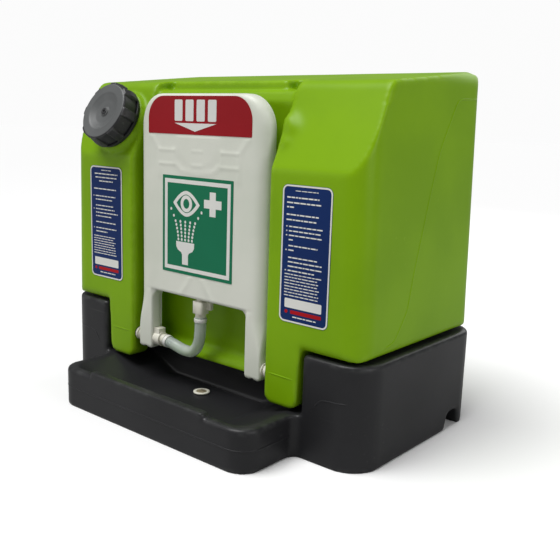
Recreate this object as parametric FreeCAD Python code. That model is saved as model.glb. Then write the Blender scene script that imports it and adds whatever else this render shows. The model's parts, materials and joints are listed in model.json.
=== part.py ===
import FreeCAD, Part
import math
import os

# Portable gravity-fed eyewash station. A moulded water tank stands on a moulded base that
# carries a drip tray. A hollow arm folds down about a pin near the tray: that lowers the two
# spray heads below the water level, and the water then runs through a hose into the arm.
# Millimetres. +Z up, front faces -Y, +X is the right-hand side seen from the front.
# Origin: on the floor, at the centre of the overall width and depth.

os.makedirs("parts", exist_ok=True)
V = FreeCAD.Vector

# ---------------------------------------------------------------- driving dimensions
OVERALL_WIDTH = 632.0
OVERALL_DEPTH = 424.0
OVERALL_HEIGHT = 541.0

BASE_WALL = 5.0
TANK_WALL = 6.0
SEAT_GAP = 4.0              # air between the tank's shoulders and the base's cheeks

# base: two cheeks, a platform between them and a tray in front
CHEEK_TOP = 150.0
CHEEK_FRONT_SETBACK = 102.0  # from the tray's front to the cheeks' front
CHEEK_CORNER = 46.0
CHEEK_INNER = 213.0          # half the gap between the cheeks
BACK_WALL_DEPTH = 62.0       # base wall behind the tank's foot
PLATFORM_TOP = 84.0
PLATFORM_FRONT = -70.0
TRAY_HALF_WIDTH = 204.0
TRAY_CORNER = 32.0
RIM_TOP = 62.0
CENTRE_RIM_RISE = 6.0
CENTRE_RIM_HALF_WIDTH = 124.0
CENTRE_RIM_WIDTH = 24.0
CENTRE_RIM_ROUND = 2.0
RIM_WIDTH = 15.0
BASIN_FLOOR = 35.0
BASIN_SLOPE = 10.0           # how far the basin's front leans in down to its floor
BASIN_SIDE_SLOPE = 76.0      # the same for its two long gentle sides
BASIN_CORNER = 26.0
BASIN_REAR_SLOPE = 4.0
BASIN_REAR = -50.0
CHEEK_INNER_ROUND = 8.0
CHEEK_EDGE = 6.0
TRAY_EDGE = 6.0
WEB_ROUND = 14.0             # hollow corner where the tray meets a cheek
TIE_SLOT_Y = 147.0
TIE_SLOT_WIDTH = 50.0
TIE_SLOT_HEIGHT = 27.0
TIE_SLOT_DEPTH = 34.0
TIE_SLOT_TAPER = 0.62        # width at the slot's top as a share of its foot
TIE_SLOT_ROUND = 12.0
PLATFORM_CORNER = 12.0

# tank: upper body with sloping shoulders, foot between the cheeks, two legs in front
TANK_FRONT = -109.0
TANK_REAR_SETBACK = 5.0      # tank's rear face inside the base's rear face
TANK_SIDE_SETBACK = 9.5      # tank's side inside the cheek's side, at the cheek's top
TANK_DRAFT = 8.0             # each side leans in by this much up to the top
TANK_CORNER = 32.0
TOP_CORNER = 24.0
SEAT_ROUND = 10.0            # lower edge of the upper body, just above the cheeks
SLANT_ROUND = 20.0
SLANT_START = 397.0
SLANT_ANGLE = 25.0           # degrees from the vertical
TOP_SLOPE = 6.3              # degrees, the top climbs towards the rear
TOP_REAR_ROUND = 34.0
TOP_FRONT_ROUND = 22.0
FOOT_HALF_WIDTH = 209.0
FOOT_TAPER = 5.0
LEG_BOTTOM = 66.0
LEG_CORNER = 14.0
FOOT_LAP = 16.0              # foot and legs run this far up into the upper body
LEG_LAP = 30.0               # and each leg this far back into the foot
CROWN_EASE = 0.3

# bay in the tank's front that the arm folds into
BAY_HALF_WIDTH = 145.0
BAY_BACK = -60.0
BAY_SILL = 92.0
BAY_SILL_TOP = 104.0
BAY_TOP = 488.0
FOOT_FRONT = -74.0           # tank's lower front wall, between the legs
CENTRE_RISER = -44.0
CENTRE_RISER_START = 503.0
END_POCKET_DEPTH = 24.0
END_POCKET_INNER = 118.0
HEAD_POCKET_HALF_WIDTH = 100.0
HEAD_POCKET_DEPTH = 22.0
HEAD_POCKET_BELOW = 45.0
HEAD_POCKET_ABOVE = 38.0
HEAD_POCKET_ROUND = 12.0
BAY_ROUND = 8.0
RISER_ROUND = 6.0
RISER_LEAN = 8.0

# arm
ARM_HALF_WIDTH = 134.0
ARM_FRONT = -105.0
ARM_THICKNESS = 22.0
ARM_TOP = 497.0
ARM_TOP_CORNER = 50.0
ARM_WALL = 3.5
ARM_BACK_PANEL = 3.0
ARM_EDGE_ROUND = 9.0
LEG_INNER = 102.0            # half the window's width, between the arm's legs
WINDOW_TOP = 189.0
WINDOW_CORNER = 14.0
ARM_BOTTOM = 88.0
ARM_FOOT_ROUND = 10.0
ARM_SOLID_FOOT = 136.0       # the legs are solid below this height
HOLLOW_FOOT_ROUND = 4.0

# arm hinge
HINGE_Z = 106.0
SPIGOT_R = 8.0
SPIGOT_BORE_R = 4.5
SPIGOT_REACH = 10.0          # how far the left pin enters the swivel
PIN_GAP = 2.0                # from the right pin's end to the arm leg's inner face
RUNNING_CLEARANCE = 0.05
FIT_CLEARANCE = 0.2
BUSH_WALL = 1.4
BUSH_LIP = 1.5
BUSH_FLANGE = 2.0
PIVOT_LIP = 2.8
PIVOT_FLANGE = 4.0
SEAL_THICKNESS = 1.5
PIVOT_THREAD_STEP = 1.0      # thread's radius below the pin's
PIVOT_THREAD_END = 3.0       # thread beyond the nut
PIVOT_NUT = 8.0
NUT_CORNER = 0.8
SWIVEL_WALL = 3.5
SWIVEL_CAP = 4.0
SWIVEL_GAP = 1.0
SWIVEL_TAIL = 13.0
SWIVEL_COLLAR = 4.0
LUG_RISE = 7.0
LUG_HALF = 7.0
LUG_ROUND = 2.0
GROOVE_PLACE = 4.0
GROOVE_WIDTH = 2.4
GROOVE_DEPTH = 1.8
SWIVEL_RING = 2.0
RING_EASE = 0.1

# spray heads
HEAD_X = 65.0
HEAD_Z = 440.0
HEAD_TUBE_R = 8.0
HEAD_CUP_R = 21.0
HEAD_TAIL = 10.4
HEAD_FLARE = 7.0
HEAD_CUP = 8.6
HEAD_START = 0.7             # head's tail begins this far inside the back panel
HEAD_WALL = 2.0
RING_R = 23.0
RING_LENGTH = 7.0
RING_FACE = 1.6
RING_LIP = 4.0
RING_NOTCHES = 12
RING_NOTCH_R = 0.9
SCREEN_THICKNESS = 1.6
SCREEN_HOLE_R = 1.4
SCREEN_ROWS = ((6, 6.5), (12, 12.5))
BOWL_RIM_HEIGHT = 7.0
BOWL_RIM_WALL = 3.0
BOWL_RIM_INSET = 4.0         # rim's outside to the pocket's edge
BOWL_RIM_LOW_ROUND = 30.0
BOWL_RIM_HIGH_ROUND = 12.0
RISER_R = 6.5
RISER_BORE_R = 4.5
FORK_RISE = 18.0             # from the window's top up to the fork
RISER_RISE = 44.0            # from the fork up to where a riser turns upright
FORK_R = 7.2
FORK_BORE_R = 5.4
DRUM_R = 10.0                # hollow drum at the top of each riser, behind its head
DRUM_BORE_R = 8.0
DRUM_WALL = 2.0
DRUM_LENGTH = 15.0
DRUM_NOSE = 1.0              # narrower end that enters the panel's hole
OUTLET_REACH = 0.5
INLET_OVERLAP = 4.0

# filler neck and cap, on the sloping shoulder
NECK_X = -200.0
NECK_Z = 451.0
COLLAR_LIP = 3.0
COLLAR_HEIGHT = 9.0
COLLAR_ROOT = 12.0
NECK_R = 40.0
NECK_WALL = 5.0
NECK_LIP = 9.0
NECK_TAIL = 24.0             # neck below its flange, down into the tank
NECK_FLANGE = 3.0
NECK_THREAD = 1.6
THREAD_TURNS = 2
THREAD_PITCH = 6.0
THREAD_WIDTH = 2.2
THREAD_START = 5.0           # from the neck's mouth
NECK_GASKET = 1.5
CAP_GASKET = 2.0
TETHER_RING = 2.0
TETHER_LIP = 2.0
CAP_FACE_HEIGHT = 43.0
CAP_HEIGHT = 27.0
CAP_WALL = 5.8
CAP_FLARE = 2.0              # skirt's foot is wider than its middle
CAP_TAPER = 1.0              # and its face is narrower
CAP_TOP_WALL = 3.0
CAP_THREAD_GAP = 0.6
CAP_DISH_R = 31.0
CAP_DISH_DEPTH = 7.0
CAP_LUGS = 8
CAP_LUG_OUT = 5.0
CAP_LUG_WIDTH = 15.0
CAP_LUG_ROOT = 6.0
CAP_LUG_SPREAD = 3.0
CAP_LUG_ROUND = 2.5
CAP_LUG_LIFT = 1.0
CAP_LUG_SHORT = 4.0
DISH_SLOPE = 8.0
CAP_GASKET_LIP = 4.0
VENT_R = 7.0
VENT_STEM_STEP = 3.0
VENT_TAPER = 1.5
VENT_HEIGHT = 5.0
VENT_HOLE_R = 1.8
VENT_TAIL = 3.0

# tray drain
DRAIN_Y = -90.0
DRAIN_LIP = 3.5
DRAIN_TUBE_R = 9.5
DRAIN_SEAL_INSET = 1.0
DRAIN_LIFT = 1.0             # tube's lower end above the ground
DRAIN_BORE_R = 6.5
DRAIN_FLANGE = 2.4
DRAIN_SEAL = 1.0
GRATING_R = 8.0
GRATING = 1.4
GRATING_SLOT_HALF = 5.0
GRATING_SLOT_STEP = 3.6
GRATING_SLOT_WIDTH = 1.8

# hose between the swivel and the arm: outer and inner diameter, and its route
HOSE_OD = 18.0
HOSE_ID = 12.0
HOSE_ROUTE = [
    (-80.0, -94.0, 106.0),
    (-59.0, -94.0, 103.0),
    (-37.5, -93.5, 97.8),
    (-17.0, -93.0, 98.8),
    (-4.5, -93.0, 114.5),
    (0.0, -94.0, 137.5),
    (0.0, -94.0, 160.0),
]
ROUND_SHARE = 0.45           # share of the shorter run that an arc uses
CLIP_PLACE = 5.0             # from the hose's end to the clip's middle
CLIP_WIDTH = 6.0
CLIP_THICKNESS = 1.2

# fitting under the arm's window that takes the hose's upper end
INLET_GAP = 4.0
SPOUT_STEP = 0.5
INLET_NUT_HALF_X = 10.5
INLET_NUT_HALF_Y = 8.5
INLET_NUT_START = 6.0
INLET_NUT_ROUND = 3.0
WING_START = 13.0
WING_LEFT = -4.0
WING_RIGHT = 19.0
WING_NEAR = 2.0
WING_FAR = 9.0
WING_ROUND = 1.5

# labels
LABEL = 0.5
PULL_LABEL_FOOT_ROUND = 1.5
SIGN_ROUND = 1.0
PULL_LABEL_HALF_WIDTH = 108.0
PULL_LABEL_BOTTOM = 437.0
PULL_LABEL_TOP = 493.0
PULL_LABEL_CORNER = 34.0
SIGN_SIDE = 150.0
SIGN_BOTTOM = 225.0
SIDE_LABEL_INNER = 170.0
SIDE_LABEL_OUTER = 253.5
SIDE_LABEL_BOTTOM = 191.0
SIDE_LABEL_TOP = 379.0
SIDE_LABEL_CORNER = 9.0

# ---------------------------------------------------------------- worked-out places
HALF_W = OVERALL_WIDTH / 2
Y_FRONT = -OVERALL_DEPTH / 2
Y_REAR = OVERALL_DEPTH / 2
CHEEK_FRONT = Y_FRONT + CHEEK_FRONT_SETBACK
FOOT_REAR = Y_REAR - BACK_WALL_DEPTH - SEAT_GAP
TANK_REAR = Y_REAR - TANK_REAR_SETBACK
TANK_HALF_W = HALF_W - TANK_SIDE_SETBACK
SHOULDER_BOTTOM = CHEEK_TOP + SEAT_GAP
SLANT = math.radians(SLANT_ANGLE)
SLANT_NORMAL = V(0, -math.cos(SLANT), math.sin(SLANT))
CLIMB = math.tan(math.radians(TOP_SLOPE))
# the top's rear corner before rounding, so that the rounded crest is the overall height
REAR_CORNER_Z = OVERALL_HEIGHT + TOP_REAR_ROUND * (CLIMB + math.hypot(1, CLIMB) - 1)
SLANT_TOP = ((REAR_CORNER_Z - (TANK_REAR - TANK_FRONT + SLANT_START * math.tan(SLANT)) * CLIMB)
             / (1 - math.tan(SLANT) * CLIMB))
SLANT_TOP_Y = TANK_FRONT + (SLANT_TOP - SLANT_START) * math.tan(SLANT)
NECK_Y = TANK_FRONT + (NECK_Z - SLANT_START) * math.tan(SLANT)
NECK_BASE = V(NECK_X, NECK_Y, NECK_Z)
ARM_BACK = ARM_FRONT + ARM_THICKNESS
HINGE_Y = ARM_FRONT + ARM_THICKNESS / 2
PANEL_FRONT = ARM_BACK - ARM_BACK_PANEL
CAP_FOOT = CAP_FACE_HEIGHT - CAP_HEIGHT
GASKET_SEAT = CAP_FACE_HEIGHT - CAP_DISH_DEPTH - CAP_TOP_WALL
NECK_HEIGHT = GASKET_SEAT - CAP_GASKET
CAP_INNER_R = NECK_R + NECK_THREAD + CAP_THREAD_GAP
NECK_BORE_R = NECK_R - NECK_WALL
NECK_FLANGE_R = NECK_R + NECK_LIP
COLLAR_R = NECK_FLANGE_R + COLLAR_LIP
CAP_R = CAP_INNER_R + CAP_WALL
BUSH_R = SPIGOT_R + BUSH_WALL
BUSH_FLANGE_R = BUSH_R + BUSH_LIP
PIVOT_FLANGE_R = SPIGOT_R + PIVOT_LIP
PIVOT_THREAD_R = SPIGOT_R - PIVOT_THREAD_STEP
SWIVEL_R = SPIGOT_R + SWIVEL_WALL
SWIVEL_START = -LEG_INNER + SWIVEL_GAP
SPIGOT_END = SWIVEL_START + SPIGOT_REACH
SWIVEL_END = SPIGOT_END + SWIVEL_CAP
HEAD_BASE = PANEL_FRONT + HEAD_START
HEAD_FACE = HEAD_BASE + HEAD_TAIL + HEAD_FLARE + HEAD_CUP
DRAIN_FLANGE_R = DRAIN_TUBE_R + DRAIN_LIP
BOWL_HALF = HEAD_POCKET_HALF_WIDTH - BOWL_RIM_INSET
BOWL_LOW = HEAD_Z - HEAD_POCKET_BELOW + BOWL_RIM_INSET
BOWL_HIGH = HEAD_Z + HEAD_POCKET_ABOVE - BOWL_RIM_INSET
X_AXIS = V(1, 0, 0)
Y_AXIS = V(0, 1, 0)
Z_AXIS = V(0, 0, 1)
FAR = 800.0                  # longer than the whole object, for cutters that run through
LAP = 20.0                   # joined blocks and cutters run this far past a face


# ---------------------------------------------------------------- helpers
def rounded_wire(corners, radii):
    """Closed wire through the corners, each rounded with a tangent arc of its own radius."""
    edges = []
    starts = []
    ends = []
    middles = []
    count = len(corners)
    for i, corner in enumerate(corners):
        before = (corners[i - 1] - corner).normalize()
        after = (corners[(i + 1) % count] - corner).normalize()
        if radii[i] <= 0:
            starts.append(corner)
            ends.append(corner)
            middles.append(None)
            continue
        half = before.getAngle(after) / 2
        back_off = radii[i] / math.tan(half)
        inward = (before + after).normalize()
        centre = corner + inward * (radii[i] / math.sin(half))
        starts.append(corner + before * back_off)
        ends.append(corner + after * back_off)
        middles.append(centre - inward * radii[i])
    for i in range(count):
        if middles[i] is not None:
            edges.append(Part.Arc(starts[i], middles[i], ends[i]).toShape())
        following = starts[(i + 1) % count]
        if (following - ends[i]).Length > 1e-6:
            edges.append(Part.LineSegment(ends[i], following).toShape())
    return Part.Wire(edges)


def prism(corners, radii, direction):
    """Solid with the rounded outline as its section, pushed along the direction."""
    return Part.Face(rounded_wire(corners, radii)).extrude(direction)


def block(x0, x1, y0, y1, z0, z1):
    return Part.makeBox(x1 - x0, y1 - y0, z1 - z0, V(x0, y0, z0))


def rect_xy(x0, x1, y0, y1, z):
    return [V(x0, y0, z), V(x1, y0, z), V(x1, y1, z), V(x0, y1, z)]


def rect_xz(x0, x1, z0, z1, y):
    return [V(x0, y, z0), V(x1, y, z0), V(x1, y, z1), V(x0, y, z1)]


def slab_z(x0, x1, y0, y1, z0, z1, radii):
    """Block whose upright edges are rounded, in the order front left, front right, rear."""
    return prism(rect_xy(x0, x1, y0, y1, z0), radii, V(0, 0, z1 - z0))


def slab_y(x0, x1, z0, z1, y0, y1, radii):
    """Block whose edges along Y are rounded, in the order low left, low right, high right."""
    return prism(rect_xz(x0, x1, z0, z1, y0), radii, V(0, y1 - y0, 0))


def rod(start, direction, length, radius):
    return Part.makeCylinder(radius, length, start, direction)


def tube(start, direction, length, outer, inner):
    return rod(start, direction, length, outer).cut(rod(start, direction, length, inner))


def cone(start, direction, length, radius_start, radius_end):
    return Part.makeCone(radius_start, radius_end, length, start, direction)


def join(shapes):
    result = shapes[0].fuse(shapes[1:]) if len(shapes) > 1 else shapes[0]
    return result.removeSplitter()


def tangent_path(points):
    """Straight runs joined by tangent arcs, each as large as its two runs allow."""
    edges = []
    radii = []
    here = points[0]
    for i in range(1, len(points) - 1):
        before = points[i] - points[i - 1]
        after = points[i + 1] - points[i]
        turn = before.getAngle(after)
        reach = ROUND_SHARE * min(before.Length, after.Length)
        radius = reach / math.tan(turn / 2)
        before.normalize()
        after.normalize()
        start = points[i] - before * reach
        end = points[i] + after * reach
        inward = (after - before).normalize()
        middle = points[i] + inward * (radius / math.cos(turn / 2) - radius)
        edges.append(Part.LineSegment(here, start).toShape())
        edges.append(Part.Arc(start, middle, end).toShape())
        radii.append(radius)
        here = end
    edges.append(Part.LineSegment(here, points[-1]).toShape())
    return Part.Wire(edges), radii


def swept(path, start, direction, radius):
    """Round bar along the path, which begins at start and heads in the direction."""
    section = Part.Wire(Part.makeCircle(radius, start, direction))
    return Part.Solid(path.makePipeShell([section], True, True))


def mirrored(shape):
    """The same shape on the other side of the centre plane X = 0."""
    return shape.mirror(V(0, 0, 0), X_AXIS)


def on_neck(height):
    """Point on the filler neck's axis, at a height above the sloping shoulder."""
    return NECK_BASE + SLANT_NORMAL * height


def save(name, shape):
    """Checks one sub-part and writes it as a STEP file."""
    solids = shape.Solids
    assert solids, name
    for solid in solids:
        assert solid.isValid() and solid.Volume > 0, name
    shape.exportStep("parts/" + name + ".step")
    print("%-22s %2d solid(s) %12.1f mm3" % (name, len(solids), shape.Volume))


# ---------------------------------------------------------------- tank
def tank_form(inset):
    """The tank's outer form, or with an inset the hollow that leaves a wall of that much."""
    half = TANK_HALF_W - inset
    lean = TANK_DRAFT
    front = TANK_FRONT + inset
    rear = TANK_REAR - inset
    low = SHOULDER_BOTTOM + inset
    high = REAR_CORNER_Z - inset
    corner = TANK_CORNER - inset
    # seen from above: a rounded rectangle that narrows towards the top
    foot_wire = rounded_wire(rect_xy(-half, half, front, rear, low), [corner] * 4)
    top_wire = rounded_wire(rect_xy(-half + lean, half - lean, front, rear - lean / 2, high),
                            [corner] * 4)
    plan = Part.makeLoft([foot_wire, top_wire], True, True)
    # seen from the side: an upright front, the slope, and a top that climbs to the rear
    slope_shift = inset * math.tan(SLANT / 2)
    side = [V(-FAR / 2, front, low), V(-FAR / 2, rear, low), V(-FAR / 2, rear, high),
            V(-FAR / 2, SLANT_TOP_Y + inset, SLANT_TOP - inset),
            V(-FAR / 2, front, SLANT_START - slope_shift)]
    profile = prism(side, [SEAT_ROUND, SEAT_ROUND, TOP_REAR_ROUND - inset,
                           TOP_FRONT_ROUND - inset, SLANT_ROUND + inset], V(FAR, 0, 0))
    # seen from the front: leaning sides, rounded at the top and at the seat
    wide = half + CROWN_EASE
    crest = OVERALL_HEIGHT - inset + 1
    crown_corners = [V(-wide, front - LAP, low), V(wide, front - LAP, low),
                     V(wide - lean, front - LAP, crest), V(-wide + lean, front - LAP, crest)]
    crown = prism(crown_corners, [SEAT_ROUND, SEAT_ROUND, TOP_CORNER - inset,
                                  TOP_CORNER - inset], V(0, rear - front + 2 * LAP, 0))
    upper = plan.common(profile).common(crown)
    # foot between the base's cheeks
    foot_half = FOOT_HALF_WIDTH - inset
    foot_low = rounded_wire(rect_xy(-foot_half + FOOT_TAPER, foot_half - FOOT_TAPER,
                                    FOOT_FRONT + inset, FOOT_REAR - inset,
                                    PLATFORM_TOP + inset), [LEG_CORNER - inset] * 4)
    foot_high = rounded_wire(rect_xy(-foot_half, foot_half, FOOT_FRONT + inset,
                                     FOOT_REAR - inset, low + FOOT_LAP), [LEG_CORNER - inset] * 4)
    foot = Part.makeLoft([foot_low, foot_high], True, True)
    # two legs that run down in front of the foot, beside the arm's bay
    leg_in = BAY_HALF_WIDTH + inset
    leg_low = LEG_BOTTOM + inset
    leg_corners = [V(leg_in, front, leg_low), V(foot_half - FOOT_TAPER, front, leg_low),
                   V(foot_half, front, low + FOOT_LAP), V(leg_in, front, low + FOOT_LAP)]
    leg = prism(leg_corners, [LEG_CORNER - inset, LEG_CORNER - inset, 0, 0],
                V(0, FOOT_FRONT + LEG_LAP - front, 0))
    # behind its front part a leg stops at the platform's height
    leg = leg.cut(block(0, FAR, FOOT_FRONT - inset, FAR, 0, PLATFORM_TOP + inset))
    form = join([upper, foot, leg, mirrored(leg)])
    # the bay for the arm, as it is seen from the side
    b = inset
    bay = [V(0, -FAR, 0), V(0, FOOT_FRONT + b, 0), V(0, FOOT_FRONT + b, BAY_SILL - b),
           V(0, BAY_BACK + b, BAY_SILL_TOP - b), V(0, BAY_BACK + b, BAY_TOP + b / 2),
           V(0, CENTRE_RISER - RISER_LEAN + b, CENTRE_RISER_START),
           V(0, CENTRE_RISER + b, CENTRE_RISER_START),
           V(0, CENTRE_RISER + b, FAR), V(0, -FAR, FAR)]
    bay_cut = prism(bay, [0, 0, BAY_ROUND, BAY_ROUND, RISER_ROUND, 0, 0, 0, 0],
                    V(2 * (BAY_HALF_WIDTH + b), 0, 0))
    bay_cut.translate(V(-BAY_HALF_WIDTH - b, 0, 0))
    head_cut = slab_y(-HEAD_POCKET_HALF_WIDTH - b, HEAD_POCKET_HALF_WIDTH + b,
                      HEAD_Z - HEAD_POCKET_BELOW - b, HEAD_Z + HEAD_POCKET_ABOVE + b,
                      BAY_BACK - LAP, BAY_BACK + HEAD_POCKET_DEPTH + b, [HEAD_POCKET_ROUND] * 4)
    pocket = block(END_POCKET_INNER - b, BAY_HALF_WIDTH + b, CENTRE_RISER - LAP,
                   CENTRE_RISER + END_POCKET_DEPTH + b, CENTRE_RISER_START + 2 - b, FAR)
    return form.cut([bay_cut, head_cut, pocket, mirrored(pocket)])


def make_tank():
    collar = rod(on_neck(-COLLAR_ROOT), SLANT_NORMAL, COLLAR_ROOT + COLLAR_HEIGHT, COLLAR_R)
    shell = tank_form(0).fuse(collar)
    shell = shell.cut(tank_form(TANK_WALL))
    neck_hole = rod(on_neck(-2 * LAP), SLANT_NORMAL, 4 * LAP, NECK_R + FIT_CLEARANCE)
    pivot_hole = rod(V(-BAY_HALF_WIDTH - TANK_WALL - LAP / 4, HINGE_Y, HINGE_Z), X_AXIS,
                     TANK_WALL + LAP / 2, PIVOT_THREAD_R + FIT_CLEARANCE)
    return shell.cut([neck_hole, pivot_hole, mirrored(pivot_hole)])


# ---------------------------------------------------------------- base
def rounded_ends(shape, radius, top):
    """Rounds the edges of an upright prism that lie in its top face."""
    edges = [edge for edge in shape.Edges if edge.BoundBox.ZMin > top - 0.01]
    return shape.makeFillet(radius, edges)


def base_form(inset):
    """The base's outer form without its basin, or the hollow inside its walls."""
    low = inset
    tray = slab_z(-TRAY_HALF_WIDTH + inset, TRAY_HALF_WIDTH - inset, Y_FRONT + inset,
                  PLATFORM_FRONT + LAP, low, RIM_TOP - inset,
                  [TRAY_CORNER - inset, TRAY_CORNER - inset, 0, 0])
    rim = slab_z(-CENTRE_RIM_HALF_WIDTH + inset, CENTRE_RIM_HALF_WIDTH - inset, Y_FRONT + inset,
                 Y_FRONT + CENTRE_RIM_WIDTH - inset, RIM_TOP - LAP,
                 RIM_TOP + CENTRE_RIM_RISE - inset, [CENTRE_RIM_ROUND] * 4)
    platform = block(-CHEEK_INNER - LAP, CHEEK_INNER + LAP, PLATFORM_FRONT + inset,
                     Y_REAR - BACK_WALL_DEPTH / 2, low, PLATFORM_TOP - inset)
    ledge = block(-CHEEK_INNER - LAP, CHEEK_INNER + LAP, CHEEK_FRONT + inset,
                  PLATFORM_FRONT + LAP, low, RIM_TOP - inset)
    web = block(TRAY_HALF_WIDTH - LAP, TRAY_HALF_WIDTH - inset + WEB_ROUND,
                CHEEK_FRONT + inset - WEB_ROUND, CHEEK_FRONT + inset + LAP, low, RIM_TOP - inset)
    web = web.cut(rod(V(TRAY_HALF_WIDTH - inset + WEB_ROUND, CHEEK_FRONT + inset - WEB_ROUND, -1),
                      Z_AXIS, FAR, WEB_ROUND))
    outer = HALF_W - inset
    inner = CHEEK_INNER + inset
    front = CHEEK_FRONT + inset
    rear = Y_REAR - inset
    pocket_rear = Y_REAR - BACK_WALL_DEPTH + inset
    u_corners = [V(-outer, front, low), V(-inner, front, low), V(-inner, pocket_rear, low),
                 V(inner, pocket_rear, low), V(inner, front, low), V(outer, front, low),
                 V(outer, rear, low), V(-outer, rear, low)]
    big = CHEEK_CORNER - inset
    u_radii = [big, CHEEK_INNER_ROUND, PLATFORM_CORNER, PLATFORM_CORNER, CHEEK_INNER_ROUND,
               big, big, big]
    cheeks = prism(u_corners, u_radii, V(0, 0, CHEEK_TOP - inset - low))
    if inset == 0:
        cheeks = rounded_ends(cheeks, CHEEK_EDGE, CHEEK_TOP)
        tray = rounded_ends(tray, TRAY_EDGE, RIM_TOP)
    return join([tray, rim, platform, ledge, web, mirrored(web), cheeks])


def basin_form(grow):
    """Basin of the tray with long sloping sides, or that form grown evenly by a wall."""
    depth = RIM_TOP - BASIN_FLOOR
    outlines = []
    for height, share in ((BASIN_FLOOR - grow, 1), (RIM_TOP, 0)):
        reach = []
        for run in (BASIN_SIDE_SLOPE, BASIN_SLOPE, BASIN_REAR_SLOPE):
            angle = math.atan2(depth, run)
            out = grow * math.tan(angle / 2) if share else grow / math.sin(angle)
            reach.append(out - share * run)
        half = TRAY_HALF_WIDTH - RIM_WIDTH + reach[0]
        outlines.append(rect_xy(-half, half, Y_FRONT + RIM_WIDTH - reach[1],
                                BASIN_REAR + reach[2], height))
    low_wire, rim_wire = [rounded_wire(outline, [BASIN_CORNER] * 4) for outline in outlines]
    bowl = Part.makeLoft([low_wire, rim_wire], True, True)
    # above the rim the cutter goes straight up, so it leaves the cheeks alone
    above = prism(outlines[1], [BASIN_CORNER] * 4, V(0, 0, PLATFORM_TOP + LAP - RIM_TOP))
    return bowl.fuse(above)


def tie_slot(grow):
    """Arched slot in the foot of a cheek, for a tie-down strap."""
    half = TIE_SLOT_WIDTH / 2 + grow
    inner = HALF_W - TIE_SLOT_DEPTH - grow
    narrow = half * TIE_SLOT_TAPER
    corners = [V(inner, TIE_SLOT_Y - half, -LAP / 2), V(inner, TIE_SLOT_Y + half, -LAP / 2),
               V(inner, TIE_SLOT_Y + narrow, TIE_SLOT_HEIGHT + grow),
               V(inner, TIE_SLOT_Y - narrow, TIE_SLOT_HEIGHT + grow)]
    return prism(corners, [0, 0, TIE_SLOT_ROUND, TIE_SLOT_ROUND],
                 V(TIE_SLOT_DEPTH + LAP + grow, 0, 0))


def make_base():
    drain_hole = rod(V(0, DRAIN_Y, -LAP), Z_AXIS, BASIN_FLOOR + 2 * LAP,
                     DRAIN_TUBE_R + FIT_CLEARANCE)
    slot = tie_slot(0)
    outer = base_form(0).cut([basin_form(0), slot, mirrored(slot)])
    inner_slot = tie_slot(BASE_WALL)
    inner = base_form(BASE_WALL).cut([basin_form(BASE_WALL), inner_slot, mirrored(inner_slot)])
    return outer.cut(inner).cut(drain_hole)


# ---------------------------------------------------------------- arm
def arm_outline(inset, y, window_grow):
    """Outline of the arm seen from the front: a plate with two legs and a window between."""
    half = ARM_HALF_WIDTH - inset
    inner = LEG_INNER + window_grow
    top = ARM_TOP - inset
    foot = ARM_BOTTOM + inset
    head = WINDOW_TOP + window_grow
    corners = [V(-half, y, foot), V(-inner, y, foot), V(-inner, y, head), V(inner, y, head),
               V(inner, y, foot), V(half, y, foot), V(half, y, top), V(-half, y, top)]
    foot_round = ARM_FOOT_ROUND
    corner = ARM_TOP_CORNER - inset
    return corners, [foot_round, foot_round, WINDOW_CORNER, WINDOW_CORNER, foot_round,
                     foot_round, corner, corner]


def make_arm_shell():
    corners, radii = arm_outline(0, ARM_FRONT, 0)
    depth = ARM_THICKNESS - ARM_BACK_PANEL
    body = prism(corners, radii, V(0, depth, 0))
    rim_edges = []
    for edge in body.Edges:
        box = edge.BoundBox
        if box.YMax < ARM_FRONT + 0.01:
            rim_edges.append(edge)
    body = body.makeFillet(ARM_EDGE_ROUND, rim_edges)
    hollow_corners, hollow_radii = arm_outline(ARM_WALL, ARM_FRONT + ARM_WALL, ARM_WALL)
    for i in (0, 1, 4, 5):
        hollow_corners[i].z = ARM_SOLID_FOOT
    for i in (0, 1, 4, 5):
        hollow_radii[i] = HOLLOW_FOOT_ROUND
    hollow = prism(hollow_corners, hollow_radii, V(0, depth, 0))
    bush_hole = rod(V(LEG_INNER - LAP, HINGE_Y, HINGE_Z), X_AXIS, 4 * LAP, BUSH_R + FIT_CLEARANCE)
    inlet_hole = rod(V(0, HINGE_Y, WINDOW_TOP - LAP / 2), Z_AXIS, LAP, RISER_R + FIT_CLEARANCE)
    return body.cut([hollow, bush_hole, mirrored(bush_hole), inlet_hole])


def make_back_panel():
    corners, radii = arm_outline(0, PANEL_FRONT, 0)
    panel = prism(corners, radii, V(0, ARM_BACK_PANEL, 0))
    rim = slab_y(-BOWL_HALF, BOWL_HALF, BOWL_LOW, BOWL_HIGH, ARM_BACK, ARM_BACK + BOWL_RIM_HEIGHT,
                 [BOWL_RIM_LOW_ROUND, BOWL_RIM_LOW_ROUND, BOWL_RIM_HIGH_ROUND,
                  BOWL_RIM_HIGH_ROUND])
    wall = BOWL_RIM_WALL
    hollow = slab_y(-BOWL_HALF + wall, BOWL_HALF - wall, BOWL_LOW + wall, BOWL_HIGH - wall,
                    ARM_BACK, ARM_BACK + BOWL_RIM_HEIGHT,
                    [BOWL_RIM_LOW_ROUND - wall, BOWL_RIM_LOW_ROUND - wall,
                     BOWL_RIM_HIGH_ROUND - wall, BOWL_RIM_HIGH_ROUND - wall])
    panel = panel.fuse(rim.cut(hollow))
    head_hole = rod(V(HEAD_X, PANEL_FRONT - LAP / 2, HEAD_Z), Y_AXIS, LAP,
                    HEAD_TUBE_R + FIT_CLEARANCE)
    bush_hole = rod(V(LEG_INNER - LAP, HINGE_Y, HINGE_Z), X_AXIS, 4 * LAP, BUSH_R + FIT_CLEARANCE)
    return panel.cut([head_hole, mirrored(head_hole), bush_hole, mirrored(bush_hole)])


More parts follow.
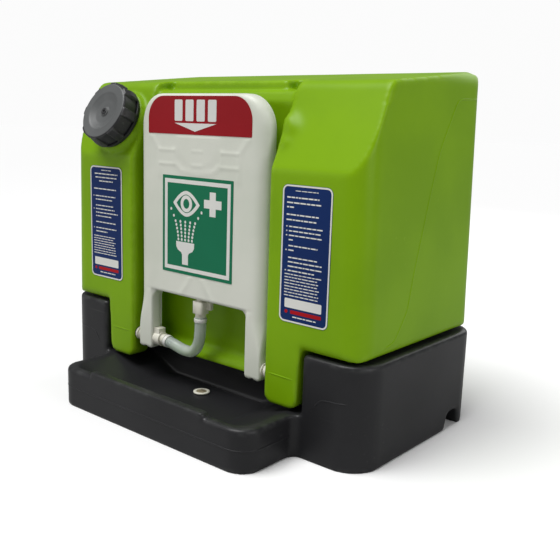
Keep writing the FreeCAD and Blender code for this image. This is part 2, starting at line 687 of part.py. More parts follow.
def make_manifold():
    """Y-shaped water tube in the arm: an inlet, a fork, two risers and a drum behind each head."""
    inlet = V(0, HINGE_Y, WINDOW_TOP - INLET_OVERLAP)
    fork = V(0, HINGE_Y, WINDOW_TOP + FORK_RISE)
    outlet = PANEL_FRONT + OUTLET_REACH
    shapes = []
    for radius, ball, drum, wall in ((RISER_R, FORK_R, DRUM_R, 0),
                                     (RISER_BORE_R, FORK_BORE_R, DRUM_BORE_R, DRUM_WALL)):
        pieces = [rod(inlet, Z_AXIS, fork.z - inlet.z, radius), Part.makeSphere(ball, fork)]
        for side in (-1, 1):
            elbow = V(side * HEAD_X, HINGE_Y, fork.z + RISER_RISE)
            head = V(side * HEAD_X, HINGE_Y, HEAD_Z)
            path, radii = tangent_path([fork, elbow, head])
            pieces.append(swept(path, fork, elbow - fork, radius))
            back = V(head.x, outlet - DRUM_LENGTH + wall, head.z)
            pieces.append(rod(back, Y_AXIS, DRUM_LENGTH - DRUM_NOSE - 2 * wall, drum))
            pieces.append(rod(head, Y_AXIS, outlet - head.y, radius))
        shapes.append(join(pieces))
    return shapes[0].cut(shapes[1])


def make_head():
    """Spray head: a tail through the back panel, opening into a cup."""
    start = V(HEAD_X, HEAD_BASE, HEAD_Z)
    flare = V(HEAD_X, HEAD_BASE + HEAD_TAIL, HEAD_Z)
    cup = V(HEAD_X, flare.y + HEAD_FLARE, HEAD_Z)
    solids = []
    for wall in (0, HEAD_WALL):
        solids.append(join([rod(start, Y_AXIS, HEAD_TAIL + wall / 4, HEAD_TUBE_R - wall),
                            cone(flare, Y_AXIS, HEAD_FLARE, HEAD_TUBE_R - wall, HEAD_CUP_R - wall),
                            rod(cup, Y_AXIS, HEAD_CUP, HEAD_CUP_R - wall)]))
    return solids[0].cut(solids[1])


def make_screen():
    """Perforated disc in the mouth of a spray head: one hole in the middle, then rings of holes."""
    seat = V(HEAD_X, HEAD_FACE - SCREEN_THICKNESS, HEAD_Z)
    disc = rod(seat, Y_AXIS, SCREEN_THICKNESS, HEAD_CUP_R - HEAD_WALL - FIT_CLEARANCE)
    holes = [rod(seat - Y_AXIS, Y_AXIS, SCREEN_THICKNESS + 2, SCREEN_HOLE_R)]
    for count, radius in SCREEN_ROWS:
        for k in range(count):
            angle = 2 * math.pi * k / count
            centre = seat + V(radius * math.cos(angle), -1, radius * math.sin(angle))
            holes.append(rod(centre, Y_AXIS, SCREEN_THICKNESS + 2, SCREEN_HOLE_R))
    return disc.cut(holes)


def make_ring():
    """Ring nut that holds the screen in a spray head."""
    start = V(HEAD_X, HEAD_FACE + RING_EASE + RING_FACE - RING_LENGTH, HEAD_Z)
    body = rod(start, Y_AXIS, RING_LENGTH, RING_R)
    body = body.cut(rod(start, Y_AXIS, RING_LENGTH - RING_FACE, HEAD_CUP_R + FIT_CLEARANCE))
    body = body.cut(rod(start, Y_AXIS, RING_LENGTH, HEAD_CUP_R - RING_LIP))
    notches = []
    for k in range(RING_NOTCHES):
        angle = 2 * math.pi * k / RING_NOTCHES
        centre = start + V(RING_R * math.cos(angle), -1, RING_R * math.sin(angle))
        notches.append(rod(centre, Y_AXIS, RING_LENGTH + 2, RING_NOTCH_R))
    return body.cut(notches)


# ---------------------------------------------------------------- hinge and water path
def bush():
    """Flanged bush in an arm leg, on the right-hand side."""
    sleeve = rod(V(LEG_INNER, HINGE_Y, HINGE_Z), X_AXIS, ARM_HALF_WIDTH - LEG_INNER, BUSH_R)
    flange = rod(V(ARM_HALF_WIDTH, HINGE_Y, HINGE_Z), X_AXIS, BUSH_FLANGE, BUSH_FLANGE_R)
    bore = rod(V(LEG_INNER - LAP, HINGE_Y, HINGE_Z), X_AXIS, 4 * LAP, SPIGOT_R + RUNNING_CLEARANCE)
    return sleeve.fuse(flange).cut(bore)


def pivot(inner_end, bored):
    """Hinge pin fixed in the tank's wall, right-hand side, with its flange and thread."""
    wall = BAY_HALF_WIDTH
    flange_start = wall - SEAL_THICKNESS - PIVOT_FLANGE
    thread_end = wall + TANK_WALL + PIVOT_NUT + PIVOT_THREAD_END
    pin = join([rod(V(inner_end, HINGE_Y, HINGE_Z), X_AXIS, flange_start - inner_end, SPIGOT_R),
                rod(V(flange_start, HINGE_Y, HINGE_Z), X_AXIS, PIVOT_FLANGE, PIVOT_FLANGE_R),
                rod(V(flange_start + PIVOT_FLANGE, HINGE_Y, HINGE_Z), X_AXIS,
                    thread_end - flange_start - PIVOT_FLANGE, PIVOT_THREAD_R)])
    if bored:
        pin = pin.cut(rod(V(inner_end - LAP, HINGE_Y, HINGE_Z), X_AXIS, FAR, SPIGOT_BORE_R))
    return pin


def pivot_seal():
    return tube(V(BAY_HALF_WIDTH - SEAL_THICKNESS, HINGE_Y, HINGE_Z), X_AXIS, SEAL_THICKNESS,
                PIVOT_FLANGE_R, PIVOT_THREAD_R + FIT_CLEARANCE)


def pivot_nut():
    """Hexagonal back-nut on a pivot's thread, with one flat beside the tank's front wall."""
    start = BAY_HALF_WIDTH + TANK_WALL
    flat = HINGE_Y - (TANK_FRONT + TANK_WALL) - FIT_CLEARANCE
    across = flat / math.cos(math.pi / 6)
    corners = []
    for k in range(6):
        angle = math.pi / 3 * k + math.pi / 6
        corners.append(V(start, HINGE_Y + across * math.cos(angle),
                         HINGE_Z + across * math.sin(angle)))
    nut = prism(corners, [NUT_CORNER] * 6, V(PIVOT_NUT, 0, 0))
    return nut.cut(rod(V(start - 1, HINGE_Y, HINGE_Z), X_AXIS, PIVOT_NUT + 2,
                       PIVOT_THREAD_R + RUNNING_CLEARANCE))


def make_swivel():
    """Swivel on the left pivot's end: it turns with the arm and carries the hose's tail."""
    barrel = rod(V(SWIVEL_START, HINGE_Y, HINGE_Z), X_AXIS, SWIVEL_END - SWIVEL_START, SWIVEL_R)
    lug = slab_y(SWIVEL_START, SWIVEL_END - LUG_ROUND, HINGE_Z, HINGE_Z + SWIVEL_R + LUG_RISE,
                 HINGE_Y - LUG_HALF, HINGE_Y + LUG_HALF, [0, 0, LUG_ROUND, LUG_ROUND])
    first = V(*HOSE_ROUTE[0])
    run = (V(*HOSE_ROUTE[1]) - first).normalize()
    neck = rod(first - run * SWIVEL_TAIL, run, SWIVEL_TAIL, HOSE_OD / 2 - 1)
    collar = rod(first - run * SWIVEL_COLLAR, run, SWIVEL_COLLAR, HOSE_OD / 2)
    body = join([barrel, lug, neck, collar])
    seat = rod(V(SWIVEL_START - 1, HINGE_Y, HINGE_Z), X_AXIS, SPIGOT_END - SWIVEL_START + 2,
               SPIGOT_R + RUNNING_CLEARANCE)
    groove = rod(V(SWIVEL_START + GROOVE_PLACE, HINGE_Y, HINGE_Z), X_AXIS, GROOVE_WIDTH,
                 SPIGOT_R + GROOVE_DEPTH)
    bore = rod(first - run * (SWIVEL_TAIL + 3), run, SWIVEL_TAIL + 6, SPIGOT_BORE_R)
    return body.cut(seat).cut(groove).cut(bore)


def make_swivel_ring():
    """Sealing ring in the swivel's groove, running on the pivot."""
    start = SWIVEL_START + GROOVE_PLACE + (GROOVE_WIDTH - SWIVEL_RING) / 2
    return tube(V(start, HINGE_Y, HINGE_Z), X_AXIS, SWIVEL_RING, SPIGOT_R + GROOVE_DEPTH - RING_EASE,
                SPIGOT_R + RUNNING_CLEARANCE)


def make_inlet():
    """Fitting under the arm's window edge that takes the hose's upper end."""
    end = V(*HOSE_ROUTE[-1])
    top = WINDOW_TOP - INLET_GAP
    spout = rod(end, Z_AXIS, top - end.z, HOSE_OD / 2 - SPOUT_STEP)
    nut = slab_z(-INLET_NUT_HALF_X, INLET_NUT_HALF_X, HINGE_Y - INLET_NUT_HALF_Y,
                 HINGE_Y + INLET_NUT_HALF_Y, end.z + INLET_NUT_START, top, [INLET_NUT_ROUND] * 4)
    wing = slab_z(WING_LEFT, WING_RIGHT, HINGE_Y + WING_NEAR, HINGE_Y + WING_FAR,
                  end.z + WING_START, top, [WING_ROUND] * 4)
    body = join([spout, nut, wing])
    return body.cut(rod(end - Z_AXIS, Z_AXIS, 3 * LAP, RISER_BORE_R))


def make_hose():
    points = [V(*p) for p in HOSE_ROUTE]
    path, radii = tangent_path(points)
    run = points[1] - points[0]
    hose = (swept(path, points[0], run, HOSE_OD / 2)
            .cut(swept(path, points[0], run, HOSE_ID / 2)))
    ideal = math.pi / 4 * (HOSE_OD ** 2 - HOSE_ID ** 2) * path.Length
    print("hose arc radii " + ", ".join("%.1f" % r for r in radii) + " mm")
    print("hose length %.1f mm, volume %.4f of section times length"
          % (path.Length, hose.Volume / ideal))
    return hose


def clip(at, direction):
    """Band clip round one end of the hose."""
    start = at - direction * (CLIP_WIDTH / 2)
    return tube(start, direction, CLIP_WIDTH, HOSE_OD / 2 + CLIP_THICKNESS, HOSE_OD / 2)


# ---------------------------------------------------------------- filler neck and cap
def make_neck():
    """Threaded neck: a flange on the tank's collar, and turns of thread as ridges."""
    bottom = on_neck(COLLAR_HEIGHT - NECK_TAIL)
    length = NECK_HEIGHT - COLLAR_HEIGHT + NECK_TAIL
    flange_at = on_neck(COLLAR_HEIGHT + NECK_GASKET)
    shapes = [rod(bottom, SLANT_NORMAL, length, NECK_R),
              rod(flange_at, SLANT_NORMAL, NECK_FLANGE, NECK_FLANGE_R)]
    for k in range(THREAD_TURNS):
        height = NECK_HEIGHT - THREAD_START - THREAD_PITCH * (k + 1)
        shapes.append(rod(on_neck(height), SLANT_NORMAL, THREAD_WIDTH, NECK_R + NECK_THREAD))
    body = join(shapes)
    return body.cut(rod(bottom - SLANT_NORMAL, SLANT_NORMAL, length + 2, NECK_BORE_R))


def make_neck_gasket():
    return tube(on_neck(COLLAR_HEIGHT), SLANT_NORMAL, NECK_GASKET, NECK_FLANGE_R,
                NECK_R + FIT_CLEARANCE)


def make_tether_ring():
    height = COLLAR_HEIGHT + NECK_GASKET + NECK_FLANGE
    return tube(on_neck(height), SLANT_NORMAL, TETHER_RING, NECK_FLANGE_R + TETHER_LIP,
                NECK_R + NECK_THREAD + FIT_CLEARANCE)


def make_cap():
    """Screw cap: skirt with finger lugs, a dished face and a hub in the middle."""
    skirt = cone(on_neck(CAP_FOOT), SLANT_NORMAL, CAP_HEIGHT, CAP_R + CAP_FLARE,
                 CAP_R - CAP_TAPER)
    lugs = []
    side = SLANT_NORMAL.cross(X_AXIS)
    for k in range(CAP_LUGS):
        angle = 2 * math.pi * (k + 0.5) / CAP_LUGS
        out = X_AXIS * math.cos(angle) + side * math.sin(angle)
        across = SLANT_NORMAL.cross(out)
        foot = on_neck(CAP_FOOT + CAP_LUG_LIFT)
        root = foot + out * (CAP_R - CAP_LUG_ROOT)
        tip = foot + out * (CAP_R + CAP_LUG_OUT)
        wide = across * (CAP_LUG_WIDTH / 2 + CAP_LUG_SPREAD)
        narrow = across * (CAP_LUG_WIDTH / 4)
        lugs.append(prism([root - wide, tip - narrow, tip + narrow, root + wide],
                          [0, CAP_LUG_ROUND, CAP_LUG_ROUND, 0],
                          SLANT_NORMAL * (CAP_HEIGHT - CAP_LUG_SHORT)))
    body = join([skirt] + lugs)
    dish = cone(on_neck(CAP_FACE_HEIGHT - CAP_DISH_DEPTH), SLANT_NORMAL, CAP_DISH_DEPTH,
                CAP_DISH_R - DISH_SLOPE, CAP_DISH_R)
    hollow = rod(on_neck(CAP_FOOT), SLANT_NORMAL, GASKET_SEAT - CAP_FOOT, CAP_INNER_R)
    hub_hole = rod(on_neck(GASKET_SEAT - 2), SLANT_NORMAL, LAP,
                   VENT_R - VENT_STEM_STEP + FIT_CLEARANCE)
    return body.cut([dish, hollow, hub_hole])


def make_cap_gasket():
    return tube(on_neck(NECK_HEIGHT), SLANT_NORMAL, CAP_GASKET, NECK_R + NECK_THREAD,
                NECK_BORE_R - CAP_GASKET_LIP)


def make_vent():
    """Breather in the middle of the cap: a small hub with a hole that lets air in."""
    floor = CAP_FACE_HEIGHT - CAP_DISH_DEPTH
    hub = cone(on_neck(floor), SLANT_NORMAL, VENT_HEIGHT, VENT_R, VENT_R - VENT_TAPER)
    stem = rod(on_neck(GASKET_SEAT - VENT_TAIL), SLANT_NORMAL, floor - GASKET_SEAT + VENT_TAIL,
               VENT_R - VENT_STEM_STEP)
    hole = rod(on_neck(GASKET_SEAT - VENT_TAIL - 1), SLANT_NORMAL, LAP, VENT_HOLE_R)
    return hub.fuse(stem).cut(hole)


# ---------------------------------------------------------------- tray drain and labels
def make_drain():
    """Bush through the tray floor and the base, with a flange that seats the grating."""
    seat = BASIN_FLOOR + DRAIN_SEAL
    flange = rod(V(0, DRAIN_Y, seat), Z_AXIS, DRAIN_FLANGE, DRAIN_FLANGE_R)
    stem = rod(V(0, DRAIN_Y, DRAIN_LIFT), Z_AXIS, seat - DRAIN_LIFT, DRAIN_TUBE_R)
    recess = rod(V(0, DRAIN_Y, seat + DRAIN_FLANGE - GRATING), Z_AXIS, LAP,
                 GRATING_R + FIT_CLEARANCE)
    bore = rod(V(0, DRAIN_Y, 0), Z_AXIS, seat + LAP, DRAIN_BORE_R)
    return flange.fuse(stem).cut([bore, recess])


def make_drain_seal():
    return tube(V(0, DRAIN_Y, BASIN_FLOOR), Z_AXIS, DRAIN_SEAL, DRAIN_FLANGE_R - DRAIN_SEAL_INSET,
                DRAIN_TUBE_R + FIT_CLEARANCE)


def make_drain_grating():
    """Slotted disc in the drain's flange that keeps coarse dirt out."""
    seat = BASIN_FLOOR + DRAIN_SEAL + DRAIN_FLANGE - GRATING
    disc = rod(V(0, DRAIN_Y, seat), Z_AXIS, GRATING, GRATING_R)
    slots = []
    for k in range(-1, 2):
        middle = DRAIN_Y + GRATING_SLOT_STEP * k
        slots.append(block(-GRATING_SLOT_HALF, GRATING_SLOT_HALF, middle - GRATING_SLOT_WIDTH / 2,
                           middle + GRATING_SLOT_WIDTH / 2, seat - 1, seat + GRATING + 1))
    return disc.cut(slots)


def label(x0, x1, z0, z1, face, radii):
    return slab_y(x0, x1, z0, z1, face - LABEL, face, radii)


def main():
    save("tank", make_tank())
    save("base", make_base())
    save("arm_shell", make_arm_shell())
    save("arm_back_panel", make_back_panel())
    save("arm_manifold", make_manifold())
    save("hose_inlet_fitting", make_inlet())
    for side, turn in (("right", lambda s: s), ("left", mirrored)):
        save("spray_head_" + side, turn(make_head()))
        save("spray_screen_" + side, turn(make_screen()))
        save("spray_ring_" + side, turn(make_ring()))
        save("pivot_bush_" + side, turn(bush()))
        save("pivot_seal_" + side, turn(pivot_seal()))
        save("pivot_nut_" + side, turn(pivot_nut()))
    save("pivot_pin_right", pivot(LEG_INNER + PIN_GAP, False))
    save("pivot_pin_left", mirrored(pivot(-SPIGOT_END, True)))
    save("hose_swivel", make_swivel())
    save("swivel_ring", make_swivel_ring())
    hose_start = V(*HOSE_ROUTE[0])
    hose_run = (V(*HOSE_ROUTE[1]) - hose_start).normalize()
    hose_end = V(*HOSE_ROUTE[-1])
    last_run = (hose_end - V(*HOSE_ROUTE[-2])).normalize()
    save("hose", make_hose())
    save("hose_clip_lower", clip(hose_start + hose_run * CLIP_PLACE, hose_run))
    save("hose_clip_upper", clip(hose_end - last_run * CLIP_PLACE, last_run))
    save("filler_neck", make_neck())
    save("neck_gasket", make_neck_gasket())
    save("tether_ring", make_tether_ring())
    save("screw_cap", make_cap())
    save("cap_gasket", make_cap_gasket())
    save("cap_vent", make_vent())
    save("drain_bush", make_drain())
    save("drain_seal", make_drain_seal())
    save("drain_grating", make_drain_grating())
    save("pull_label", label(-PULL_LABEL_HALF_WIDTH, PULL_LABEL_HALF_WIDTH, PULL_LABEL_BOTTOM,
                             PULL_LABEL_TOP, ARM_FRONT,
                             [PULL_LABEL_FOOT_ROUND, PULL_LABEL_FOOT_ROUND, PULL_LABEL_CORNER,
                              PULL_LABEL_CORNER]))
    save("eyewash_sign", label(-SIGN_SIDE / 2, SIGN_SIDE / 2, SIGN_BOTTOM,
                               SIGN_BOTTOM + SIGN_SIDE, ARM_FRONT, [SIGN_ROUND] * 4))
    save("notes_label_right", label(SIDE_LABEL_INNER, SIDE_LABEL_OUTER, SIDE_LABEL_BOTTOM,
                                    SIDE_LABEL_TOP, TANK_FRONT, [SIDE_LABEL_CORNER] * 4))
    save("notes_label_left", label(-SIDE_LABEL_OUTER, -SIDE_LABEL_INNER, SIDE_LABEL_BOTTOM,
                                   SIDE_LABEL_TOP, TANK_FRONT, [SIDE_LABEL_CORNER] * 4))


main()
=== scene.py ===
# %% [markdown]
# # A portable eyewash station
#
# A green moulded water tank stands on a charcoal base with a drip tray. A white hollow arm folds
# down about a pin near the tray and carries two spray heads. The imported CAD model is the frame:
# it says where every piece is. This lesson puts finished surfaces round it.

# %% The frame
import json
import math

import bmesh
import bpy
import numpy as np
from mathutils import Matrix, Vector


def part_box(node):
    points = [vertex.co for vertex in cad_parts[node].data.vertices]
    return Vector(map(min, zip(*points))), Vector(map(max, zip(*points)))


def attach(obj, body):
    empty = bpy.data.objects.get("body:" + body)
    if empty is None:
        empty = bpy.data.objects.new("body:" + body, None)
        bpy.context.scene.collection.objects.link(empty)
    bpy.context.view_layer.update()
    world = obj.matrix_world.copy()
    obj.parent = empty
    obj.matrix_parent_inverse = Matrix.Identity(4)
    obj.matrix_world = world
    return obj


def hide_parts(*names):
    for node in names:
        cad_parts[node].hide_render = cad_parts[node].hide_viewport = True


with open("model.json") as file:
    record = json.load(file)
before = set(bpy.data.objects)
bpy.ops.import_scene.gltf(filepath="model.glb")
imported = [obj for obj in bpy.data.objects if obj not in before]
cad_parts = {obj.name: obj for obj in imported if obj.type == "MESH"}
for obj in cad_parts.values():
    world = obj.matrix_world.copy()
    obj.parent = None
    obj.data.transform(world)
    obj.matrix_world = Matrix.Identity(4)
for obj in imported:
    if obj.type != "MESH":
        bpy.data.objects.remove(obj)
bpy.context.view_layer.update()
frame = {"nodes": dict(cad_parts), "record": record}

# %% [markdown]
# ## Camera
#
# The camera stands in front and to the right of the station, a little above its middle, and is
# rolled by about two degrees, as a hand-held one is. A camera's own axes are the columns of its
# matrix: right, up and back. They follow from an azimuth, a pitch and a roll.

# %% Camera
CAMERA_PLACE = (0.8246, -0.8979, 0.4572)
CAMERA_AZIMUTH, CAMERA_PITCH, CAMERA_ROLL = (math.radians(a) for a in (39.7, 11.58, 1.9))
CAMERA_LENS = 49.02


def camera_axes(azimuth, pitch, roll):
    """Right, up and back of a camera: back points away from the view, and roll turns the others."""
    back = Vector((math.sin(azimuth) * math.cos(pitch), -math.cos(azimuth) * math.cos(pitch),
                   math.sin(pitch)))
    right = (-back).cross(Vector((0, 0, 1))).normalized()
    up = right.cross(-back)
    turned_right = right * math.cos(roll) + up * math.sin(roll)
    turned_up = -right * math.sin(roll) + up * math.cos(roll)
    return turned_right, turned_up, back


camera = bpy.data.objects.new("camera", bpy.data.cameras.new("camera"))
camera.data.lens = CAMERA_LENS
camera.data.sensor_width = 36
camera_turn = Matrix(camera_axes(CAMERA_AZIMUTH, CAMERA_PITCH, CAMERA_ROLL)).transposed()
camera.matrix_world = Matrix.Translation(CAMERA_PLACE) @ camera_turn.to_4x4()
bpy.context.scene.collection.objects.link(camera)
bpy.context.scene.camera = camera
print("camera looks from", CAMERA_PLACE)

# %% [markdown]
# ## Hose
#
# A short clear hose leads the water from the swivel at the left pivot into the arm. It is one
# soft curve, so it is a NURBS curve of one open spline with a round bevel. Its control points are
# the same few points as the hose's route in the design, in metres.

# %% Hose curve
HOSE_DIAMETER = 0.018
HOSE_ROUTE = [
    (-0.0800, -0.0940, 0.1060),
    (-0.0590, -0.0940, 0.1030),
    (-0.0375, -0.0935, 0.0978),
    (-0.0170, -0.0930, 0.0988),
    (-0.0045, -0.0930, 0.1145),
    (0.0000, -0.0940, 0.1375),
    (0.0000, -0.0940, 0.1600),
]


def cord_curve(name, route, diameter):
    """Tube round a quadratic NURBS spline that has the route's points as its control points."""
    curve = bpy.data.curves.new(name, "CURVE")
    curve.dimensions = "3D"
    spline = curve.splines.new("NURBS")
    spline.points.add(len(route) - 1)
    for point, place in zip(spline.points, route):
        point.co = (*place, 1)
    spline.order_u = 3
    spline.use_endpoint_u = True
    curve.resolution_u = 16
    curve.bevel_depth = diameter / 2
    curve.bevel_resolution = 7
    curve.use_fill_caps = True
    cord = bpy.data.objects.new(name, curve)
    bpy.context.scene.collection.objects.link(cord)
    return cord


def spline_length(cord):
    """Length of the curve's own line: the sum of its short straight steps, with no bevel."""
    bare = cord.data.copy()
    bare.bevel_depth = 0
    line = bpy.data.objects.new("line", bare)
    bpy.context.scene.collection.objects.link(line)
    mesh = bpy.data.meshes.new_from_object(line.evaluated_get(bpy.context.evaluated_depsgraph_get()))
    points = np.array([v.co for v in mesh.vertices])
    bpy.data.objects.remove(line)
    bpy.data.meshes.remove(mesh)
    bpy.data.curves.remove(bare)
    return float(np.linalg.norm(np.diff(points, axis=0), axis=1).sum())


hose = cord_curve("water_hose", HOSE_ROUTE, HOSE_DIAMETER)
hose_length = spline_length(hose)
print("hose is %.1f mm long" % (hose_length * 1000))

# %% [markdown]
# ## Floor and light
#
# The station stands on a flat pale floor under a soft sun, which comes from above, a little from
# the front and the left. Three weaker square lights stand in front at the left, at the right and
# behind. They are large, so they make the soft bands that moulded plastic shows along its rounded
# edges. The floor and the backdrop are paler to the camera than in the light that they give back,
# so that they don't wash out the dark base.

# %% Floor
FLOOR_SIDE = 60.0
FLOOR_SEEN, FLOOR_BOUNCE = 0.9, 0.44


def principled(name, colour, roughness, **constants):
    """New material with one Principled shader. Constants are set on its own sockets."""
    material = bpy.data.materials.new(name)
    material.use_nodes = True
    shader = material.node_tree.nodes["Principled BSDF"]
    shader.inputs["Base Color"].default_value = (*colour, 1)
    shader.inputs["Roughness"].default_value = roughness
    for socket, value in constants.items():
        shader.inputs[socket.replace("_", " ")].default_value = value
    return material


def surface(name, points, faces, smooth=True):
    """Mesh object at the origin from an (n, 3) array of points and a list of faces."""
    mesh = bpy.data.meshes.new(name)
    mesh.from_pydata(np.asarray(points, float).tolist(), [], faces)
    mesh.polygons.foreach_set("use_smooth", [smooth] * len(mesh.polygons))
    mesh.update()
    piece = bpy.data.objects.new(name, mesh)
    bpy.context.scene.collection.objects.link(piece)
    return piece


half = FLOOR_SIDE / 2
floor = surface("floor", [(-half, -half, 0), (half, -half, 0), (half, half, 0), (-half, half, 0)],
                [(0, 1, 2, 3)])
floor_paint = principled("floor_paint", (FLOOR_SEEN,) * 3, 0.95, Specular_IOR_Level=0.0)
paint_tree = floor_paint.node_tree
direct = paint_tree.nodes.new("ShaderNodeLightPath")
shade = paint_tree.nodes.new("ShaderNodeMapRange")
shade.inputs["To Min"].default_value = FLOOR_BOUNCE
shade.inputs["To Max"].default_value = FLOOR_SEEN
paint_tree.links.new(direct.outputs["Is Camera Ray"], shade.inputs["Value"])
paint_tree.links.new(shade.outputs["Result"], paint_tree.nodes["Principled BSDF"].inputs["Base Color"])
floor.data.materials.append(floor_paint)

# %% Lights


def hang_lamp(name, light, place, direction):
    """Hangs a light at a place, so that it shines along a direction."""
    lamp = bpy.data.objects.new(name, light)
    turn = direction.to_track_quat("-Z", "Y").to_matrix().to_4x4()
    lamp.matrix_world = Matrix.Translation(place) @ turn
    bpy.context.scene.collection.objects.link(lamp)


def area_light(name, place, target, size, power):
    """Square area light at a place, turned so that its face looks at the target."""
    light = bpy.data.lights.new(name, "AREA")
    light.size = size
    light.energy = power
    hang_lamp(name, light, place, Vector(target) - Vector(place))


def soft_sun(name, direction, strength, spread):
    """Even light from far away. The spread is the angle of the lit patch of sky, in degrees."""
    light = bpy.data.lights.new(name, "SUN")
    light.energy = strength
    light.angle = math.radians(spread)
    hang_lamp(name, light, (0, 0, 0), Vector(direction))


MIDDLE = (0.0, 0.0, 0.25)
soft_sun("top_light", (0.20, 0.36, -1.0), 3.0, 40)
area_light("front_light", (-1.8, -2.0, 1.0), MIDDLE, 0.9, 5)
area_light("side_light", (2.4, -0.1, 1.0), MIDDLE, 1.2, 13)
area_light("rear_light", (0.2, 2.6, 1.6), MIDDLE, 1.6, 14)
AMBIENT, BACKDROP = 0.20, 0.97


def studio_world():
    """Soft ambient light for the surfaces, and a paler backdrop where only the camera looks."""
    world = bpy.data.worlds.new("studio")
    world.use_nodes = True
    tree = world.node_tree
    ambient = tree.nodes["Background"]
    ambient.inputs["Color"].default_value = (1, 1, 1, 1)
    ambient.inputs["Strength"].default_value = AMBIENT
    backdrop = tree.nodes.new("ShaderNodeBackground")
    backdrop.inputs["Color"].default_value = (1, 1, 1, 1)
    backdrop.inputs["Strength"].default_value = BACKDROP
    seen = tree.nodes.new("ShaderNodeLightPath")
    mix = tree.nodes.new("ShaderNodeMixShader")
    tree.links.new(seen.outputs["Is Camera Ray"], mix.inputs[0])
    tree.links.new(ambient.outputs[0], mix.inputs[1])
    tree.links.new(backdrop.outputs[0], mix.inputs[2])
    tree.links.new(mix.outputs[0], tree.nodes["World Output"].inputs["Surface"])
    return world


bpy.context.scene.world = studio_world()
bpy.context.scene.view_settings.view_transform = "Standard"
print("lights are set")

# %% [markdown]
# ## Effects that several finishes share
#
# A moulded plastic is never one flat colour. Three effects are node groups, built once: the fine
# grain and slow colour drift of a moulded skin, pale wear on edges that hands and boxes rub, and
# fine scratches. Each puts out only colours, masks, roughness and height, and each material feeds
# them to its own shader. Patterns read Object coordinates, which are metres on every piece.

# %% Helpers for node groups


def new_group(name, inputs, outputs):
    """Empty shader node group with named sockets, given as (name, kind, default)."""
    group = bpy.data.node_groups.new(name, "ShaderNodeTree")
    for socket, kind, value in inputs:
        item = group.interface.new_socket(socket, in_out="INPUT", socket_type="NodeSocket" + kind)
        item.default_value = value
    for socket, kind in outputs:
        group.interface.new_socket(socket, in_out="OUTPUT", socket_type="NodeSocket" + kind)
    return group, group.nodes.new("NodeGroupInput"), group.nodes.new("NodeGroupOutput")


def add_node(tree, kind, links=(), **settings):
    """New node with attributes set from settings, and links given as (input, socket or value)."""
    node = tree.nodes.new("ShaderNode" + kind)
    for key, value in settings.items():
        setattr(node, key, value)
    for key, source in links:
        if isinstance(source, bpy.types.NodeSocket):
            tree.links.new(source, node.inputs[key])
        else:
            node.inputs[key].default_value = source
    return node


def noise(tree, place, scale, detail=2.0):
    """Noise between 0 and 1 over a place, with so many cells in each metre."""
    links = [("Vector", place), ("Scale", scale), ("Detail", detail)]
    return add_node(tree, "TexNoise", links).outputs[0]


def ramp(tree, value, low, high):
    """Smooth step: 0 below low, 1 above high."""
    node = add_node(tree, "MapRange", [("Value", value), ("From Min", low), ("From Max", high)],
                    interpolation_type="SMOOTHSTEP", clamp=True)
    return node.outputs["Result"]


def math_node(tree, operation, *values):
    """Result of one operation on sockets or plain values, given in the node's own order."""
    return add_node(tree, "Math", enumerate(values), operation=operation).outputs[0]


def mix_colour(tree, factor, a, b):
    """Colour a where the factor is 0, and colour b where it is 1."""
    return add_node(tree, "Mix", [(0, factor), (6, a), (7, b)], data_type="RGBA").outputs[2]


# %% Moulded skin
def build_moulded_skin():
    """Colour drifts between two tones over a few centimetres; height is a fine orange-peel grain."""
    group, given, result = new_group(
        "moulded_skin",
        [("Colour", "Color", (1, 1, 1, 1)), ("Second Tone", "Color", (1, 1, 1, 1)),
         ("Drift Scale", "Float", 7.0), ("Grain Scale", "Float", 900.0), ("Gloss", "Float", 0.35)],
        [("Colour", "Color"), ("Roughness", "Float"), ("Height", "Float")])
    place = add_node(group, "TexCoord").outputs["Object"]
    drift = noise(group, place, given.outputs["Drift Scale"], 4.0)
    grain = noise(group, place, given.outputs["Grain Scale"])
    colour = mix_colour(group, ramp(group, drift, 0.35, 0.65), given.outputs["Colour"],
                        given.outputs["Second Tone"])
    uneven = math_node(group, "MULTIPLY_ADD", drift, 0.12, given.outputs["Gloss"])
    group.links.new(colour, result.inputs["Colour"])
    group.links.new(uneven, result.inputs["Roughness"])
    group.links.new(grain, result.inputs["Height"])
    return group


# %% Wear and scratches
def build_edge_wear():
    """Where the mesh's own edge attribute is high and a noise agrees, the colour turns paler."""
    group, given, result = new_group(
        "edge_wear",
        [("Colour", "Color", (1, 1, 1, 1)), ("Worn Colour", "Color", (1, 1, 1, 1)),
         ("Amount", "Float", 0.5)],
        [("Colour", "Color"), ("Mask", "Float")])
    place = add_node(group, "TexCoord").outputs["Object"]
    edge = add_node(group, "Attribute", attribute_name="edge").outputs["Fac"]
    patches = noise(group, place, 60.0, 6.0)
    mask = math_node(group, "MULTIPLY", ramp(group, edge, 0.25, 0.8), ramp(group, patches, 0.4, 0.7))
    mask = math_node(group, "MULTIPLY", mask, given.outputs["Amount"])
    colour = mix_colour(group, mask, given.outputs["Colour"], given.outputs["Worn Colour"])
    group.links.new(colour, result.inputs["Colour"])
    group.links.new(mask, result.inputs["Mask"])
    return group


